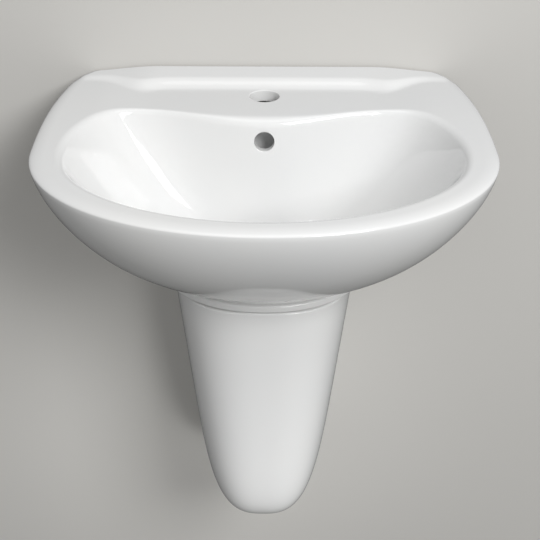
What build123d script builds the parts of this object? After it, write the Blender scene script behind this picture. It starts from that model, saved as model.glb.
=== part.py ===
from build123d import *
from math import cos, hypot, pi, radians, sin, sqrt, tan
import os

# Wall-hung washbasin with a half pedestal, in millimetres.
# X runs to the right of a person at the basin, Y runs into the wall and Z runs up.
# The origin is on the wall, midway between the two bolts that carry the basin.

# Driving sizes of the basin
BASIN_WIDTH = 500.0
BASIN_DEPTH = 406.0
RIM_Z = 90.0
CHINA = 9.0
BACK_WALL = 12.0
DECK = 15.5

# Plan of the rim
HALF_WIDTH = BASIN_WIDTH / 2
REAR_HALF_WIDTH = 233.5
REAR_CORNER = 68.0
CORNER_TURN = 60
SIDE_CURVE = 2.6
WIDEST = 217.0
RIM_POWER = 2.085
RIM_ROLL = 6.0
ROLL_INSET = 12.0

# Apron below the rim, and the neck and collar that cap the half pedestal
APRON_DEPTH = 149.0
APRON_FRONT_POWER = 1.55
APRON_SIDE_POWER = 1.55
APRON_PLAN_POWER = 2.45
APRON_WIDEST = 141.0
APRON_CORNER = 22.0
NECK_HALF_WIDTH = 114.0
NECK_FRONT = 262.0
NECK_WIDEST = 158.0
NECK_POWER = 2.1
NECK_STEP = 2.0
COLLAR_DEPTH = 177.0
COLLAR_HEIGHT = 9.0
COLLAR_OUT = 3.5
COLLAR_Z = RIM_Z - COLLAR_DEPTH
UNDERSIDE_Z = RIM_Z - APRON_DEPTH

# Raised ledge along the wall and the sunk tap platform in front of it
LEDGE_HEIGHT = 9.5
LEDGE_TOP = 20.0
LEDGE_FOOT = 47.0
LEDGE_SIDE_STEP = 1.5
PLATFORM_HALF_WIDTH = 165.0
PLATFORM_DROP = 3.0
PLATFORM_FRONT = 150.0
PLATFORM_CORNER = 28.0
TAP_HOLE_RADIUS = 17.5
TAP_HOLE_Y = -65.0

# Bowl
BOWL_DEPTH = 138.0
BOWL_FRONT = 375.0
BOWL_HALF_WIDTH = 217.0
BOWL_WIDEST = 225.0
BOWL_REAR = 135.0
BOWL_POWER = 2.2
BOWL_LIP = 7.0
LIP_TURN = 72
LIP_CLEAR = 1.0
BOWL_SHOULDERS = [(205, 155), (167, 113), (135, 109), (74, 122)]
FLOOR_RADIUS = 33.0
FLOOR_Z = RIM_Z - BOWL_DEPTH
WASTE_Y = -195.0
WASTE_HOLE_RADIUS = 23.0
BOSS_RADIUS = 38.0
BOSS_HEIGHT = 28.0
BOSS_Z = FLOOR_Z - BOSS_HEIGHT

# Overflow hole and its cast channel behind the bowl
OVERFLOW_RADIUS = 11.5
OVERFLOW_DROP = 30.0
OVERFLOW_Z = RIM_Z - OVERFLOW_DROP
CHANNEL_HALF_WIDTH = 13.0
CHANNEL_WALL = 8.0
CHANNEL_REAR = -104.0
CHANNEL_FRONT = -118.0
CHANNEL_HEADROOM = 14.0
CHANNEL_TOP = OVERFLOW_Z + CHANNEL_HEADROOM
CHANNEL_KNEE = 5.0
CHANNEL_FOOT_RISE = 8.0
CHANNEL_FOOT = BOSS_Z + CHANNEL_FOOT_RISE
CHANNEL_FOOT_HEIGHT = 11.0

# Basin fixings
BASIN_BOLT_X = 140.0
BASIN_BOLT_RADIUS = 5.0
BASIN_BOLT_TIP = 10.0
BASIN_HOLE_RADIUS = 10.0
BASIN_PLUG_RADIUS = 7.0
BASIN_PLUG_LENGTH = 70.0
BASIN_SCREW_DEPTH = 32.0
BASIN_BUSH_RADIUS = 14.0
BASIN_WASHER_RADIUS = 13.0
BASIN_WASHER = 2.0
BASIN_NUT_FLATS = 17.0
BASIN_NUT_HEIGHT = 8.0
BUSH_FLANGE = 3.0

# Half pedestal
PEDESTAL_GAP = 2.0
PEDESTAL_TOP = COLLAR_Z - PEDESTAL_GAP
PEDESTAL_HEIGHT = 367.0
PEDESTAL_HALF_WIDTH = 107.0
PEDESTAL_WIDEST = 120.0
PEDESTAL_FRONT = 261.0
PEDESTAL_SIDE_TAPER = 0.41
PEDESTAL_FRONT_TAPER = 0.07
PEDESTAL_SIDE_POWER = 8.0
PEDESTAL_FRONT_POWER = 14.0
PEDESTAL_PLAN_POWER = 2.8
PEDESTAL_WALL = 10.0
SEAT_INSET = 3.0
SEAT_WIDTH = 4.5
SEAT_ROOT = 3.0
PEDESTAL_BOLT_X = 64.0
PEDESTAL_BOLT_Z = -250.0
PEDESTAL_BOLT_RADIUS = 3.0
PEDESTAL_BOLT_TIP = 6.0
PEDESTAL_HOLE_RADIUS = 5.5
PEDESTAL_PLUG_RADIUS = 5.0
PEDESTAL_PLUG_LENGTH = 50.0
PEDESTAL_SCREW_DEPTH = 22.0
PEDESTAL_BUSH_RADIUS = 7.7
PEDESTAL_WASHER_RADIUS = 7.2
PEDESTAL_WASHER = 1.2
PEDESTAL_NUT_FLATS = 10.0
PEDESTAL_NUT_HEIGHT = 5.0
LUG_THICKNESS = 16.0
LUG_HALF_HEIGHT = 20.0
LUG_INNER_X = 48.0

# Fits
FREE = 0.3
RUNNING = 0.05

# Click-clack waste
FLANGE_SEAL = 1.5
FLANGE_RADIUS = 31.5
FLANGE_THICKNESS = 3.0
FLANGE_TOP = FLOOR_Z + FLANGE_SEAL + FLANGE_THICKNESS
WASTE_RADIUS = 20.9
WASTE_BORE = 18.4
WASTE_LENGTH = 88.0
WASTE_END = FLOOR_Z - WASTE_LENGTH
SLOT_WIDTH = 12.0
SLOT_DROP = 7.0
SLOT_RISE = 6.0
SLOT_TOP = FLOOR_Z - SLOT_DROP
SLOT_BOTTOM = BOSS_Z + SLOT_RISE
HUB_RADIUS = 9.0
HUB_BORE = 6.0
HUB_DROP = 24.0
HUB_TOP = FLOOR_Z - HUB_DROP
HUB_THICKNESS = 6.0
SPOKE_WIDTH = 4.0
LOWER_WASHER_THICKNESS = 8.0
BACKNUT_HEIGHT = 12.0
BACKNUT_FLATS = 56.0

# Plug
PLUG_TRAVEL = 9.0
PLUG_RADIUS = 29.5
PLUG_RISE = 5.0
PLUG_EDGE = 2.5
PLUG_SEAL_HEIGHT = 3.0
PLUG_SEAL_INSET = 1.5
PLUG_SEAL_RADIUS = 25.0
PLUG_SEAL_BORE = 21.0
PLUG_SEAL_Z = FLANGE_TOP + PLUG_TRAVEL + FREE
PLUG_UNDERSIDE = PLUG_SEAL_Z + PLUG_SEAL_INSET
STEM_RADIUS = 3.5
STEM_COLLAR_RADIUS = 8.5
STEM_COLLAR_THICKNESS = 2.0
STEM_REACH = 14.0
STEM_END = HUB_TOP - STEM_REACH
CARTRIDGE_RADIUS = 8.0
CARTRIDGE_RISE = 2.0
CARTRIDGE_DROP = 40.0
CARTRIDGE_FLOOR = 3.0
CARTRIDGE_TOP = HUB_TOP + CARTRIDGE_RISE
CARTRIDGE_END = HUB_TOP - CARTRIDGE_DROP
SPRING_WIRE = 0.7
SPRING_COIL = 5.6
SPRING_TURNS = 8

# Bottle trap
PIPE_RADIUS = 16.0
PIPE_BORE = 14.5
SLEEVE = PIPE_RADIUS + FREE
JOINT_WASHER = 2.5
PIPE_FLANGE = 2.5
PIPE_FLANGE_RADIUS = 20.0
INLET_NUT_RADIUS = 27.0
INLET_NUT_REACH = 20.0
NUT_LIP = 4.0
NUT_RIBS = 12
RIB_RADIUS = 1.8
TRAP_DROP = 42.0
TRAP_NECK_TOP = WASTE_END - TRAP_DROP
TRAP_NECK_RADIUS = 20.9
TRAP_NECK_LENGTH = 20.0
TRAP_RADIUS = 30.0
TRAP_BORE = 27.0
TRAP_TOP = TRAP_NECK_TOP - TRAP_NECK_LENGTH
TRAP_BODY_LENGTH = 70.0
TRAP_END = TRAP_TOP - TRAP_BODY_LENGTH
SLIP_SEAL = 5.0
SLIP_SEAL_FACE = 2.0
SLIP_SEAL_EDGE = 1.0
SLIP_SEAL_RADIUS = TRAP_NECK_RADIUS - 0.5
SLIP_NUT_GAP = 2.0
OUTLET_DROP = 24.0
OUTLET_Z = TRAP_TOP - OUTLET_DROP
STUB_LENGTH = 54.0
STUB_END = WASTE_Y + STUB_LENGTH
PIPE_INSERT = 12.0
OUTLET_PIPE_START = STUB_END - PIPE_INSERT
OUTLET_PIPE_END = 45.0
MARK_WIDTH = 2.0
MARK_DEPTH = 0.4
OUTLET_NUT_REACH = 18.0
ROSETTE_RADIUS = 36.0
ROSETTE_HEIGHT = 9.0
ROSETTE_LIP = 3.0
ROSETTE_EDGE = 2.0
CUP_SEAL = 3.0
CUP_THREAD = 12.0
CUP_WALL = 3.0
CUP_GRIP_WALL = 4.5
CUP_GRIP_RADIUS = TRAP_RADIUS + FREE + CUP_GRIP_WALL
CUP_SHOULDER = 4.0
CUP_BOWL_RADIUS = TRAP_RADIUS
CUP_LENGTH = 58.0
CUP_END = TRAP_END - CUP_LENGTH
CUP_ROUND = 12.0
DIP_CLEARANCE = 26.0
DIP_END = CUP_END + DIP_CLEARANCE


# Plain round shapes

def rod(radius, low, high, x=0.0, y=WASTE_Y):
    """Upright cylinder between two heights."""
    return Pos(x, y, (low + high) / 2) * Cylinder(radius, high - low)


def ring(outer, bore, low, high, x=0.0, y=WASTE_Y):
    """Upright ring between two heights."""
    return rod(outer, low, high, x, y) - rod(bore, low - 1, high + 1, x, y)


def wall_rod(radius, front, back, x=0.0, z=0.0):
    """Cylinder square to the wall between two Y values."""
    return Pos(x, (front + back) / 2, z) * Rot(90, 0, 0) * Cylinder(radius, back - front)


def wall_ring(outer, bore, front, back, x=0.0, z=0.0):
    """Ring square to the wall between two Y values."""
    return wall_rod(outer, front, back, x, z) - wall_rod(bore, front - 1, back + 1, x, z)


def turned(points, y=WASTE_Y):
    """Solid turned about an upright axis from (radius, height) points."""
    outline = Polyline(*[(radius, 0, height) for radius, height in points], close=True)
    return Pos(0, y, 0) * revolve(make_face(outline), Axis.Z)


def pair(shape, spacing):
    """The shape and its twin at plus and minus the spacing in X."""
    return Compound(children=[Pos(side * spacing, 0, 0) * shape for side in (-1, 1)])


# Plan outlines as rings of points, lofted into the china shapes

def arch(half_width, front, widest, power, rear_half_width, corner, rear):
    """Open outline from the rear right round the front to the rear left."""
    right = []
    for angle in (CORNER_TURN, 42, 26, 10):
        drop = sin(radians(CORNER_TURN)) - sin(radians(angle))
        right.append((rear_half_width - corner + corner * cos(radians(angle)), rear - corner * drop))
    start_x, start_y = right[-1]
    for step in (1, 2, 3):
        back = 1 - step / 3
        side_y = -widest + (start_y + widest) * back
        right.append((half_width - (half_width - start_x) * back ** SIDE_CURVE, side_y))
    for angle in (15, 30, 45, 60, 75):
        turn = radians(angle)
        across = half_width * cos(turn) ** (2 / power)
        right.append((across, -widest - (front - widest) * sin(turn) ** (2 / power)))
    left = [(-x, y) for x, y in reversed(right)]
    return right + [(0, -front)] + left


def spaced(points):
    """Running length along the points as fractions of the whole."""
    lengths = [0.0]
    for (x0, y0), (x1, y1) in zip(points, points[1:]):
        lengths.append(lengths[-1] + hypot(x1 - x0, y1 - y0))
    return [length / lengths[-1] for length in lengths]


def open_section(points, z, stations, headings=None):
    """Closed wire at a height: a smooth curve through the points and a straight back."""
    lifted = [Vector(x, y, z) for x, y in points]
    curve = Edge.make_spline(lifted, tangents=headings, parameters=stations)
    return Wire([curve, Edge.make_line(lifted[-1], lifted[0])])


def apron_size(fraction):
    """Half width, front and the other plan sizes of the apron, from rim (0) to underside (1)."""
    front_share = (1 - fraction ** APRON_FRONT_POWER) ** (1 / APRON_FRONT_POWER)
    side_share = (1 - fraction ** APRON_SIDE_POWER) ** (1 / APRON_SIDE_POWER)
    half_width = NECK_HALF_WIDTH + (HALF_WIDTH - NECK_HALF_WIDTH) * side_share
    rear_half_width = NECK_HALF_WIDTH + (REAR_HALF_WIDTH - NECK_HALF_WIDTH) * side_share
    front = NECK_FRONT + (BASIN_DEPTH - NECK_FRONT) * front_share
    widest = WIDEST + (APRON_WIDEST - WIDEST) * fraction
    power = RIM_POWER + (APRON_PLAN_POWER - RIM_POWER) * fraction
    corner = REAR_CORNER + (APRON_CORNER - REAR_CORNER) * fraction
    return half_width, front, widest, power, rear_half_width, corner


def apron_section(fraction, inset, depth, rear, stations):
    half_width, front, widest, power, rear_half_width, corner = apron_size(fraction)
    outline = arch(
        half_width - inset, front - inset, widest, power, rear_half_width - inset, corner - inset, rear
    )
    return open_section(outline, RIM_Z - depth, stations)


APRON_STEPS = 12
STATIONS = spaced(arch(*apron_size(0.4), 0.0))


def apron_depth(fraction):
    return RIM_ROLL + (APRON_DEPTH - RIM_ROLL) * fraction


def apron_fractions():
    """Steps down the apron that close up towards its underside."""
    turns = [step / APRON_STEPS * pi / 2 for step in range(APRON_STEPS + 1)]
    return [sin(turn) ** (2 / APRON_SIDE_POWER) for turn in turns]


def apron_solid():
    """Outside of the basin from the rolled rim down to its underside."""
    roll = []
    for angle in range(0, 91, 15):
        inset = ROLL_INSET * (1 - cos(radians(angle)))
        depth = RIM_ROLL * (1 - sin(radians(angle)))
        roll.append(apron_section(0.0, inset, depth, 0.0, STATIONS))
    sides = []
    for fraction in apron_fractions():
        sides.append(apron_section(fraction, 0.0, apron_depth(fraction), 0.0, STATIONS))
    return Solid.make_loft(roll) + Solid.make_loft(sides)


def apron_hollow():
    """Room under the deck, a wall's thickness inside the apron."""
    sections = []
    for fraction in apron_fractions():
        sections.append(apron_section(fraction, CHINA, apron_depth(fraction) - CHINA, -BACK_WALL, STATIONS))
    below_deck = Pos(0, 0, RIM_Z - DECK) * Box(
        BASIN_WIDTH, 2 * BASIN_DEPTH, 2 * BASIN_DEPTH, align=(Align.CENTER, Align.CENTER, Align.MAX)
    )
    return Solid.make_loft(sections) & below_deck


def prism(outline, low, high):
    """Upright piece with one outline between two heights."""
    return extrude(-Face(open_section(outline, low, STATIONS)), amount=high - low)


def neck_prism(inset, rear, low, high):
    outline = arch(
        NECK_HALF_WIDTH - inset, NECK_FRONT - inset, NECK_WIDEST, NECK_POWER,
        NECK_HALF_WIDTH - inset, APRON_CORNER, rear,
    )
    return prism(outline, low, high)


def ledge_solid():
    """Raised ledge along the wall, falling in an S curve to the platform."""
    crest = (0, -LEDGE_TOP, RIM_Z + LEDGE_HEIGHT)
    foot = (0, -LEDGE_FOOT, RIM_Z)
    slope = Spline(crest, foot, tangents=[(0, -1, 0), (0, -1, 0)])
    rest = Polyline(
        foot, (0, -LEDGE_FOOT, RIM_Z - 1), (0, 0, RIM_Z - 1), (0, 0, RIM_Z + LEDGE_HEIGHT), crest,
    )
    profile = make_face([slope, rest])
    bar = extrude(profile, amount=HALF_WIDTH, dir=(1, 0, 0), both=True)
    half_width, front, widest, power, rear_half_width, corner = apron_size(0.0)
    inset = ROLL_INSET + LEDGE_SIDE_STEP
    plan = arch(
        half_width - inset, front - inset, widest, power, rear_half_width - inset, corner - inset, 0.0,
    )
    return bar & prism(plan, RIM_Z - 2, RIM_Z + LEDGE_HEIGHT + 2)


def platform_cutter():
    length = PLATFORM_FRONT - LEDGE_FOOT
    middle = -(PLATFORM_FRONT + LEDGE_FOOT) / 2
    plan = Pos(0, middle, RIM_Z - PLATFORM_DROP) * RectangleRounded(
        2 * PLATFORM_HALF_WIDTH, length, PLATFORM_CORNER
    )
    return extrude(plan, amount=PLATFORM_DROP + LEDGE_HEIGHT, taper=-35)


# Bowl, star shaped about the waste

def bowl_edge():
    """Closed outline of the bowl just under its lip, from the front centre to the right."""
    right = []
    for angle in (72, 54, 36, 18, 0):
        turn = radians(angle)
        right.append((BOWL_HALF_WIDTH * cos(turn), -BOWL_WIDEST - (BOWL_FRONT - BOWL_WIDEST) * sin(turn)))
    right += [(x, -y) for x, y in BOWL_SHOULDERS]
    left = [(-x, y) for x, y in reversed(right)]
    return [(0, -BOWL_FRONT)] + right + [(0, -BOWL_REAR)] + left


BOWL_EDGE = bowl_edge()
BOWL_STATIONS = spaced(BOWL_EDGE + BOWL_EDGE[:1])


def bowl_section(share, grow, depth):
    """Wire of the bowl, from the floor round the waste (0) to its edge (1) and past it."""
    points = []
    for x, y in BOWL_EDGE:
        reach = hypot(x, y - WASTE_Y)
        radius = FLOOR_RADIUS + (reach - FLOOR_RADIUS) * share + grow
        points.append(Vector(x * radius / reach, WASTE_Y + (y - WASTE_Y) * radius / reach, RIM_Z - depth))
    return Wire([Edge.make_spline(points, periodic=True, parameters=BOWL_STATIONS)])


BOWL_STEPS = 10


def bowl_depth(share):
    return BOWL_LIP + (BOWL_DEPTH - BOWL_LIP) * (1 - share ** BOWL_POWER)


def bowl_solid():
    """Room inside the bowl, flaring over the rounded lip."""
    shares = [step / BOWL_STEPS for step in range(BOWL_STEPS + 1)]
    room = Solid.make_loft([bowl_section(share, 0.0, bowl_depth(share)) for share in shares])
    lip = []
    for angle in range(0, LIP_TURN + 1, LIP_TURN // 4):
        grow = BOWL_LIP * (1 - cos(radians(angle)))
        depth = BOWL_LIP * (1 - sin(radians(angle)))
        lip.append(bowl_section(1.0, grow, depth))
    # The lip runs on straight for a little above the rim, so that it leaves a clean edge there
    run_on = (depth + LIP_CLEAR) / tan(radians(90 - LIP_TURN))
    skirt = [lip[-1], bowl_section(1.0, grow + run_on, -LIP_CLEAR)]
    return room + Solid.make_loft(lip) + Solid.make_loft(skirt, ruled=True)


def bowl_shell():
    """Bowl and its wall as one solid, up to the deck."""
    shares = [step / BOWL_STEPS for step in range(BOWL_STEPS + 1)]
    shell = Solid.make_loft([bowl_section(share, CHINA, bowl_depth(share) + CHINA) for share in shares])
    brim = [bowl_section(1.0, CHINA, bowl_depth(1.0) + CHINA), bowl_section(1.0, CHINA, 0.0)]
    return shell + Solid.make_loft(brim, ruled=True)


def channel(half_width, wall):
    """Overflow channel down the back of the bowl into the waste hole."""
    outline = Polyline(
        (0, CHANNEL_FRONT - wall, CHANNEL_TOP + wall),
        (0, CHANNEL_REAR + wall, CHANNEL_TOP + wall),
        (0, CHANNEL_REAR + wall, CHANNEL_KNEE),
        (0, WASTE_Y + BOSS_RADIUS + wall, CHANNEL_FOOT - wall),
        (0, WASTE_Y, CHANNEL_FOOT - wall),
        (0, WASTE_Y, CHANNEL_FOOT + CHANNEL_FOOT_HEIGHT + wall),
        (0, WASTE_Y + WASTE_HOLE_RADIUS + CHANNEL_WALL, CHANNEL_FOOT + CHANNEL_FOOT_HEIGHT + wall),
        (0, CHANNEL_FRONT - wall, CHANNEL_KNEE),
        close=True,
    )
    return extrude(make_face(outline), amount=half_width + wall, dir=(1, 0, 0), both=True)


def basin():
    outside = apron_solid() + neck_prism(NECK_STEP, 0.0, COLLAR_Z, UNDERSIDE_Z + CHINA)
    outside += neck_prism(-COLLAR_OUT, 0.0, COLLAR_Z, COLLAR_Z + COLLAR_HEIGHT)
    outside += ledge_solid()
    neck_inside = NECK_STEP + CHINA
    hollow = apron_hollow() + neck_prism(neck_inside, -BACK_WALL, COLLAR_Z - 1, UNDERSIDE_Z + 2 * CHINA)
    hollow -= bowl_shell()
    hollow -= rod(BOSS_RADIUS, BOSS_Z, FLOOR_Z)
    hollow -= channel(CHANNEL_HALF_WIDTH, CHANNEL_WALL)
    body = outside - hollow - bowl_solid() - platform_cutter()
    body -= rod(WASTE_HOLE_RADIUS, BOSS_Z - 1, FLOOR_Z + 1)
    body -= channel(CHANNEL_HALF_WIDTH, 0.0)
    body -= wall_rod(OVERFLOW_RADIUS, WASTE_Y, CHANNEL_REAR - 2, 0.0, OVERFLOW_Z)
    body -= rod(TAP_HOLE_RADIUS, RIM_Z - DECK - 1, RIM_Z + 1, 0.0, TAP_HOLE_Y)
    for side in (-1, 1):
        body -= wall_rod(BASIN_HOLE_RADIUS, -BACK_WALL - 1, 1, side * BASIN_BOLT_X)
    # The back is open below the bowl so that pipes can reach the wall
    pipe_gap_top = UNDERSIDE_Z + 2 * CHINA
    gap = Box(2 * (NECK_HALF_WIDTH - CHINA), 2 * BACK_WALL + 2, pipe_gap_top - COLLAR_Z + 2)
    body -= Pos(0, 0, (pipe_gap_top + COLLAR_Z) / 2) * gap
    return body


# Half pedestal

def pedestal_outline(share, inset, back):
    """Open outline of the half pedestal at a share of its height below its top."""
    half_width = PEDESTAL_HALF_WIDTH * (1 - PEDESTAL_SIDE_TAPER * share)
    half_width = half_width * sqrt(1 - share ** PEDESTAL_SIDE_POWER) - inset
    front_closing = sqrt(1 - share ** PEDESTAL_FRONT_POWER)
    front = PEDESTAL_FRONT * (1 - PEDESTAL_FRONT_TAPER * share) * front_closing - inset
    widest = PEDESTAL_WIDEST * front_closing
    right = [(half_width, back), (half_width, (back - widest) / 2)]
    for angle in (0, 15, 30, 45, 60, 75):
        across = half_width * cos(radians(angle)) ** (2 / PEDESTAL_PLAN_POWER)
        right.append((across, -widest - (front - widest) * sin(radians(angle)) ** (2 / PEDESTAL_PLAN_POWER)))
    left = [(-x, y) for x, y in reversed(right)]
    return right + [(0, -front)] + left


PEDESTAL_STEPS = 12
PEDESTAL_TIP_SHARE = 0.995
PEDESTAL_STATIONS = spaced(pedestal_outline(0.4, 0.0, 0.0))
PEDESTAL_HEADINGS = [(0, -1, 0), (0, 1, 0)]


def pedestal_shares(tip):
    """Steps down the half pedestal that close up towards its rounded foot."""
    return [tip * sin(step / PEDESTAL_STEPS * pi / 2) for step in range(PEDESTAL_STEPS + 1)]


def pedestal_solid(height, inset, back, tip):
    sections = []
    for share in pedestal_shares(tip):
        outline = pedestal_outline(share, inset, back)
        z = PEDESTAL_TOP - share * height
        sections.append(open_section(outline, z, PEDESTAL_STATIONS, PEDESTAL_HEADINGS))
    return Solid.make_loft(sections)


def pedestal_prism(inset, low, high):
    """Upright piece with the plan of the half pedestal's top."""
    outline = pedestal_outline(0.0, inset, 0.0)
    section = open_section(outline, low, PEDESTAL_STATIONS, PEDESTAL_HEADINGS)
    return extrude(-Face(section), amount=high - low)


def semi_pedestal():
    shell = pedestal_solid(PEDESTAL_HEIGHT, 0.0, 0.0, PEDESTAL_TIP_SHARE)
    inside = pedestal_solid(PEDESTAL_HEIGHT - PEDESTAL_WALL, PEDESTAL_WALL, 1.0, PEDESTAL_TIP_SHARE - 0.01)
    # An inner edge rises to the collar behind the shadow gap
    seat = pedestal_prism(SEAT_INSET, PEDESTAL_TOP - SEAT_ROOT, COLLAR_Z)
    seat -= pedestal_prism(SEAT_INSET + SEAT_WIDTH, PEDESTAL_TOP - SEAT_ROOT - 1, COLLAR_Z + 1)
    body = shell - inside + seat
    lug_reach = PEDESTAL_HALF_WIDTH - LUG_INNER_X
    for side in (-1, 1):
        lug = Pos(side * (LUG_INNER_X + lug_reach / 2), -LUG_THICKNESS / 2, PEDESTAL_BOLT_Z) * Box(
            lug_reach, LUG_THICKNESS, 2 * LUG_HALF_HEIGHT
        )
        body += lug & shell
        body -= wall_rod(
            PEDESTAL_HOLE_RADIUS, -LUG_THICKNESS - 1, 1, side * PEDESTAL_BOLT_X, PEDESTAL_BOLT_Z
        )
    return body


# Wall fixings: each a pair of hanger bolts with plugs, flanged bushes, washers and nuts

def hex_nut(flats, height, bore, face, z):
    """Nut on a bolt square to the wall, with its back on a face."""
    hexagon = extrude(RegularPolygon(flats / 2, 6, False), amount=height)
    return Pos(0, face, z) * Rot(90, 0, 0) * hexagon - wall_rod(bore, face - height - 1, face + 1, 0, z)


def bolt_set(
    prefix, spacing, z, seat, bolt, tip, hole, plug, plug_length, screw_depth,
    flange, washer_radius, washer, nut_flats, nut_height,
):
    washer_face = -seat - BUSH_FLANGE
    nut_face = washer_face - washer
    sleeve = wall_ring(hole - FREE, bolt, -seat, -FREE, 0, z)
    anchor = wall_rod(plug, 0, plug_length, 0, z) - wall_rod(bolt, -1, screw_depth, 0, z)
    pieces = {
        "_bolts": wall_rod(bolt, nut_face - nut_height - tip, screw_depth, 0, z),
        "_wall_plugs": anchor,
        "_bolt_bushes": sleeve + wall_ring(flange, bolt, washer_face, -seat, 0, z),
        "_bolt_washers": wall_ring(washer_radius, bolt + FREE, nut_face, washer_face, 0, z),
        "_bolt_nuts": hex_nut(nut_flats, nut_height, bolt, nut_face, z),
    }
    return {prefix + name: pair(piece, spacing) for name, piece in pieces.items()}


# Waste fitting

def waste_body():
    body = ring(FLANGE_RADIUS, WASTE_BORE, FLANGE_TOP - FLANGE_THICKNESS, FLANGE_TOP)
    body += ring(WASTE_RADIUS, WASTE_BORE, WASTE_END, FLANGE_TOP)
    for angle in (0, 90, 180, 270):
        slot = Pos(WASTE_RADIUS, 0, (SLOT_TOP + SLOT_BOTTOM) / 2) * Box(
            WASTE_RADIUS, SLOT_WIDTH, SLOT_TOP - SLOT_BOTTOM
        )
        body -= Pos(0, WASTE_Y, 0) * Rot(0, 0, angle) * slot
    hub_middle = HUB_TOP - HUB_THICKNESS / 2
    for angle in (45, 135):
        spoke = Box(2 * WASTE_BORE + 1, SPOKE_WIDTH, HUB_THICKNESS)
        body += Pos(0, WASTE_Y, hub_middle) * Rot(0, 0, angle) * spoke
    body += rod(HUB_RADIUS, HUB_TOP - HUB_THICKNESS, HUB_TOP)
    return body - rod(HUB_BORE, HUB_TOP - HUB_THICKNESS - 1, HUB_TOP + 1)


def waste_flange_seal():
    return ring(FLANGE_RADIUS - 2, WASTE_HOLE_RADIUS, FLOOR_Z, FLOOR_Z + FLANGE_SEAL)


def waste_lower_washer():
    low = BOSS_Z - LOWER_WASHER_THICKNESS
    return turned([
        (WASTE_RADIUS, low), (BOSS_RADIUS - 2, low), (BOSS_RADIUS - 4, BOSS_Z), (WASTE_RADIUS, BOSS_Z),
    ])


def waste_backnut():
    top = BOSS_Z - LOWER_WASHER_THICKNESS
    hexagon = Pos(0, WASTE_Y, top - BACKNUT_HEIGHT) * extrude(
        RegularPolygon(BACKNUT_FLATS / 2, 6, False), amount=BACKNUT_HEIGHT
    )
    return hexagon - rod(WASTE_RADIUS, top - BACKNUT_HEIGHT - 1, top + 1)


# Plug, its stem, seal, spring and the click cartridge

def plug_cap():
    edge_top = PLUG_UNDERSIDE + PLUG_EDGE
    dome_radius = (PLUG_RADIUS ** 2 + PLUG_RISE ** 2) / (2 * PLUG_RISE)
    dome = Pos(0, WASTE_Y, edge_top + PLUG_RISE - dome_radius) * Sphere(dome_radius)
    dome &= rod(PLUG_RADIUS, edge_top, edge_top + PLUG_RISE)
    cap = rod(PLUG_RADIUS, PLUG_UNDERSIDE, edge_top) + dome
    cap -= ring(PLUG_SEAL_RADIUS, PLUG_SEAL_BORE, PLUG_UNDERSIDE - 1, PLUG_SEAL_Z + PLUG_SEAL_HEIGHT)
    return cap - rod(STEM_RADIUS, PLUG_UNDERSIDE - 1, edge_top)


def plug_seal():
    return ring(PLUG_SEAL_RADIUS, PLUG_SEAL_BORE, PLUG_SEAL_Z, PLUG_SEAL_Z + PLUG_SEAL_HEIGHT)


def plug_stem():
    stem = rod(STEM_RADIUS, STEM_END, PLUG_UNDERSIDE + PLUG_EDGE)
    return stem + rod(STEM_COLLAR_RADIUS, PLUG_UNDERSIDE - STEM_COLLAR_THICKNESS, PLUG_UNDERSIDE)


def click_cartridge():
    barrel = rod(CARTRIDGE_RADIUS, CARTRIDGE_END, HUB_TOP - HUB_THICKNESS)
    barrel += rod(HUB_BORE, HUB_TOP - HUB_THICKNESS, CARTRIDGE_TOP)
    return barrel - rod(STEM_RADIUS + RUNNING, CARTRIDGE_END + CARTRIDGE_FLOOR, CARTRIDGE_TOP + 1)


def helix_point(turn, start, pitch):
    angle = 2 * pi * turn
    return Vector(SPRING_COIL * cos(angle), WASTE_Y + SPRING_COIL * sin(angle), start + pitch * turn)


def helix_heading(turn, pitch):
    angle = 2 * pi * turn
    rise = pitch / (2 * pi)
    return Vector(-SPRING_COIL * sin(angle), SPRING_COIL * cos(angle), rise).normalized()


def tangent_pair(start, start_heading, end, end_heading):
    """Two arcs that leave and arrive along the given headings and meet smoothly."""
    gap = end - start
    lean = start_heading + end_heading
    square = 2 - 2 * start_heading.dot(end_heading)
    along = gap.dot(lean)
    reach = (-along + sqrt(along ** 2 + square * gap.dot(gap))) / square
    joint = (start + start_heading * reach + end - end_heading * reach) * 0.5
    middle = (end - end_heading * reach - start - start_heading * reach).normalized()
    return [Edge.make_tangent_arc(start, start_heading, joint), Edge.make_tangent_arc(joint, middle, end)]


def plug_spring():
    start = CARTRIDGE_TOP + SPRING_WIRE + RUNNING
    length = PLUG_UNDERSIDE - STEM_COLLAR_THICKNESS - CARTRIDGE_TOP - 2 * SPRING_WIRE - 2 * RUNNING
    pitch = length / SPRING_TURNS
    arcs = []
    for quarter in range(4 * SPRING_TURNS):
        near = quarter / 4
        far = near + 0.25
        arcs += tangent_pair(
            helix_point(near, start, pitch), helix_heading(near, pitch),
            helix_point(far, start, pitch), helix_heading(far, pitch),
        )
    heading = helix_heading(0, pitch)
    profile = Plane(helix_point(0, start, pitch), z_dir=heading) * Circle(SPRING_WIRE)
    samples = [helix_point(step / 24, start, pitch) for step in range(24 * SPRING_TURNS + 1)]
    gaps = [
        (samples[one] - samples[two]).length - 2 * SPRING_WIRE
        for one in range(len(samples)) for two in range(one + 12, len(samples))
    ]
    print("least gap between the spring's curls", round(min(gaps), 2), "mm")
    return sweep(profile, path=Wire(arcs))


# Bottle trap and outlet

def ribbed(shape, radius, low, high, y=WASTE_Y):
    """Grip ribs round an upright nut."""
    for rib in range(NUT_RIBS):
        turn = 2 * pi * rib / NUT_RIBS
        shape += rod(RIB_RADIUS, low, high, radius * cos(turn), y + radius * sin(turn))
    return shape


FLANGE_UNDER = WASTE_END - JOINT_WASHER - PIPE_FLANGE


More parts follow.
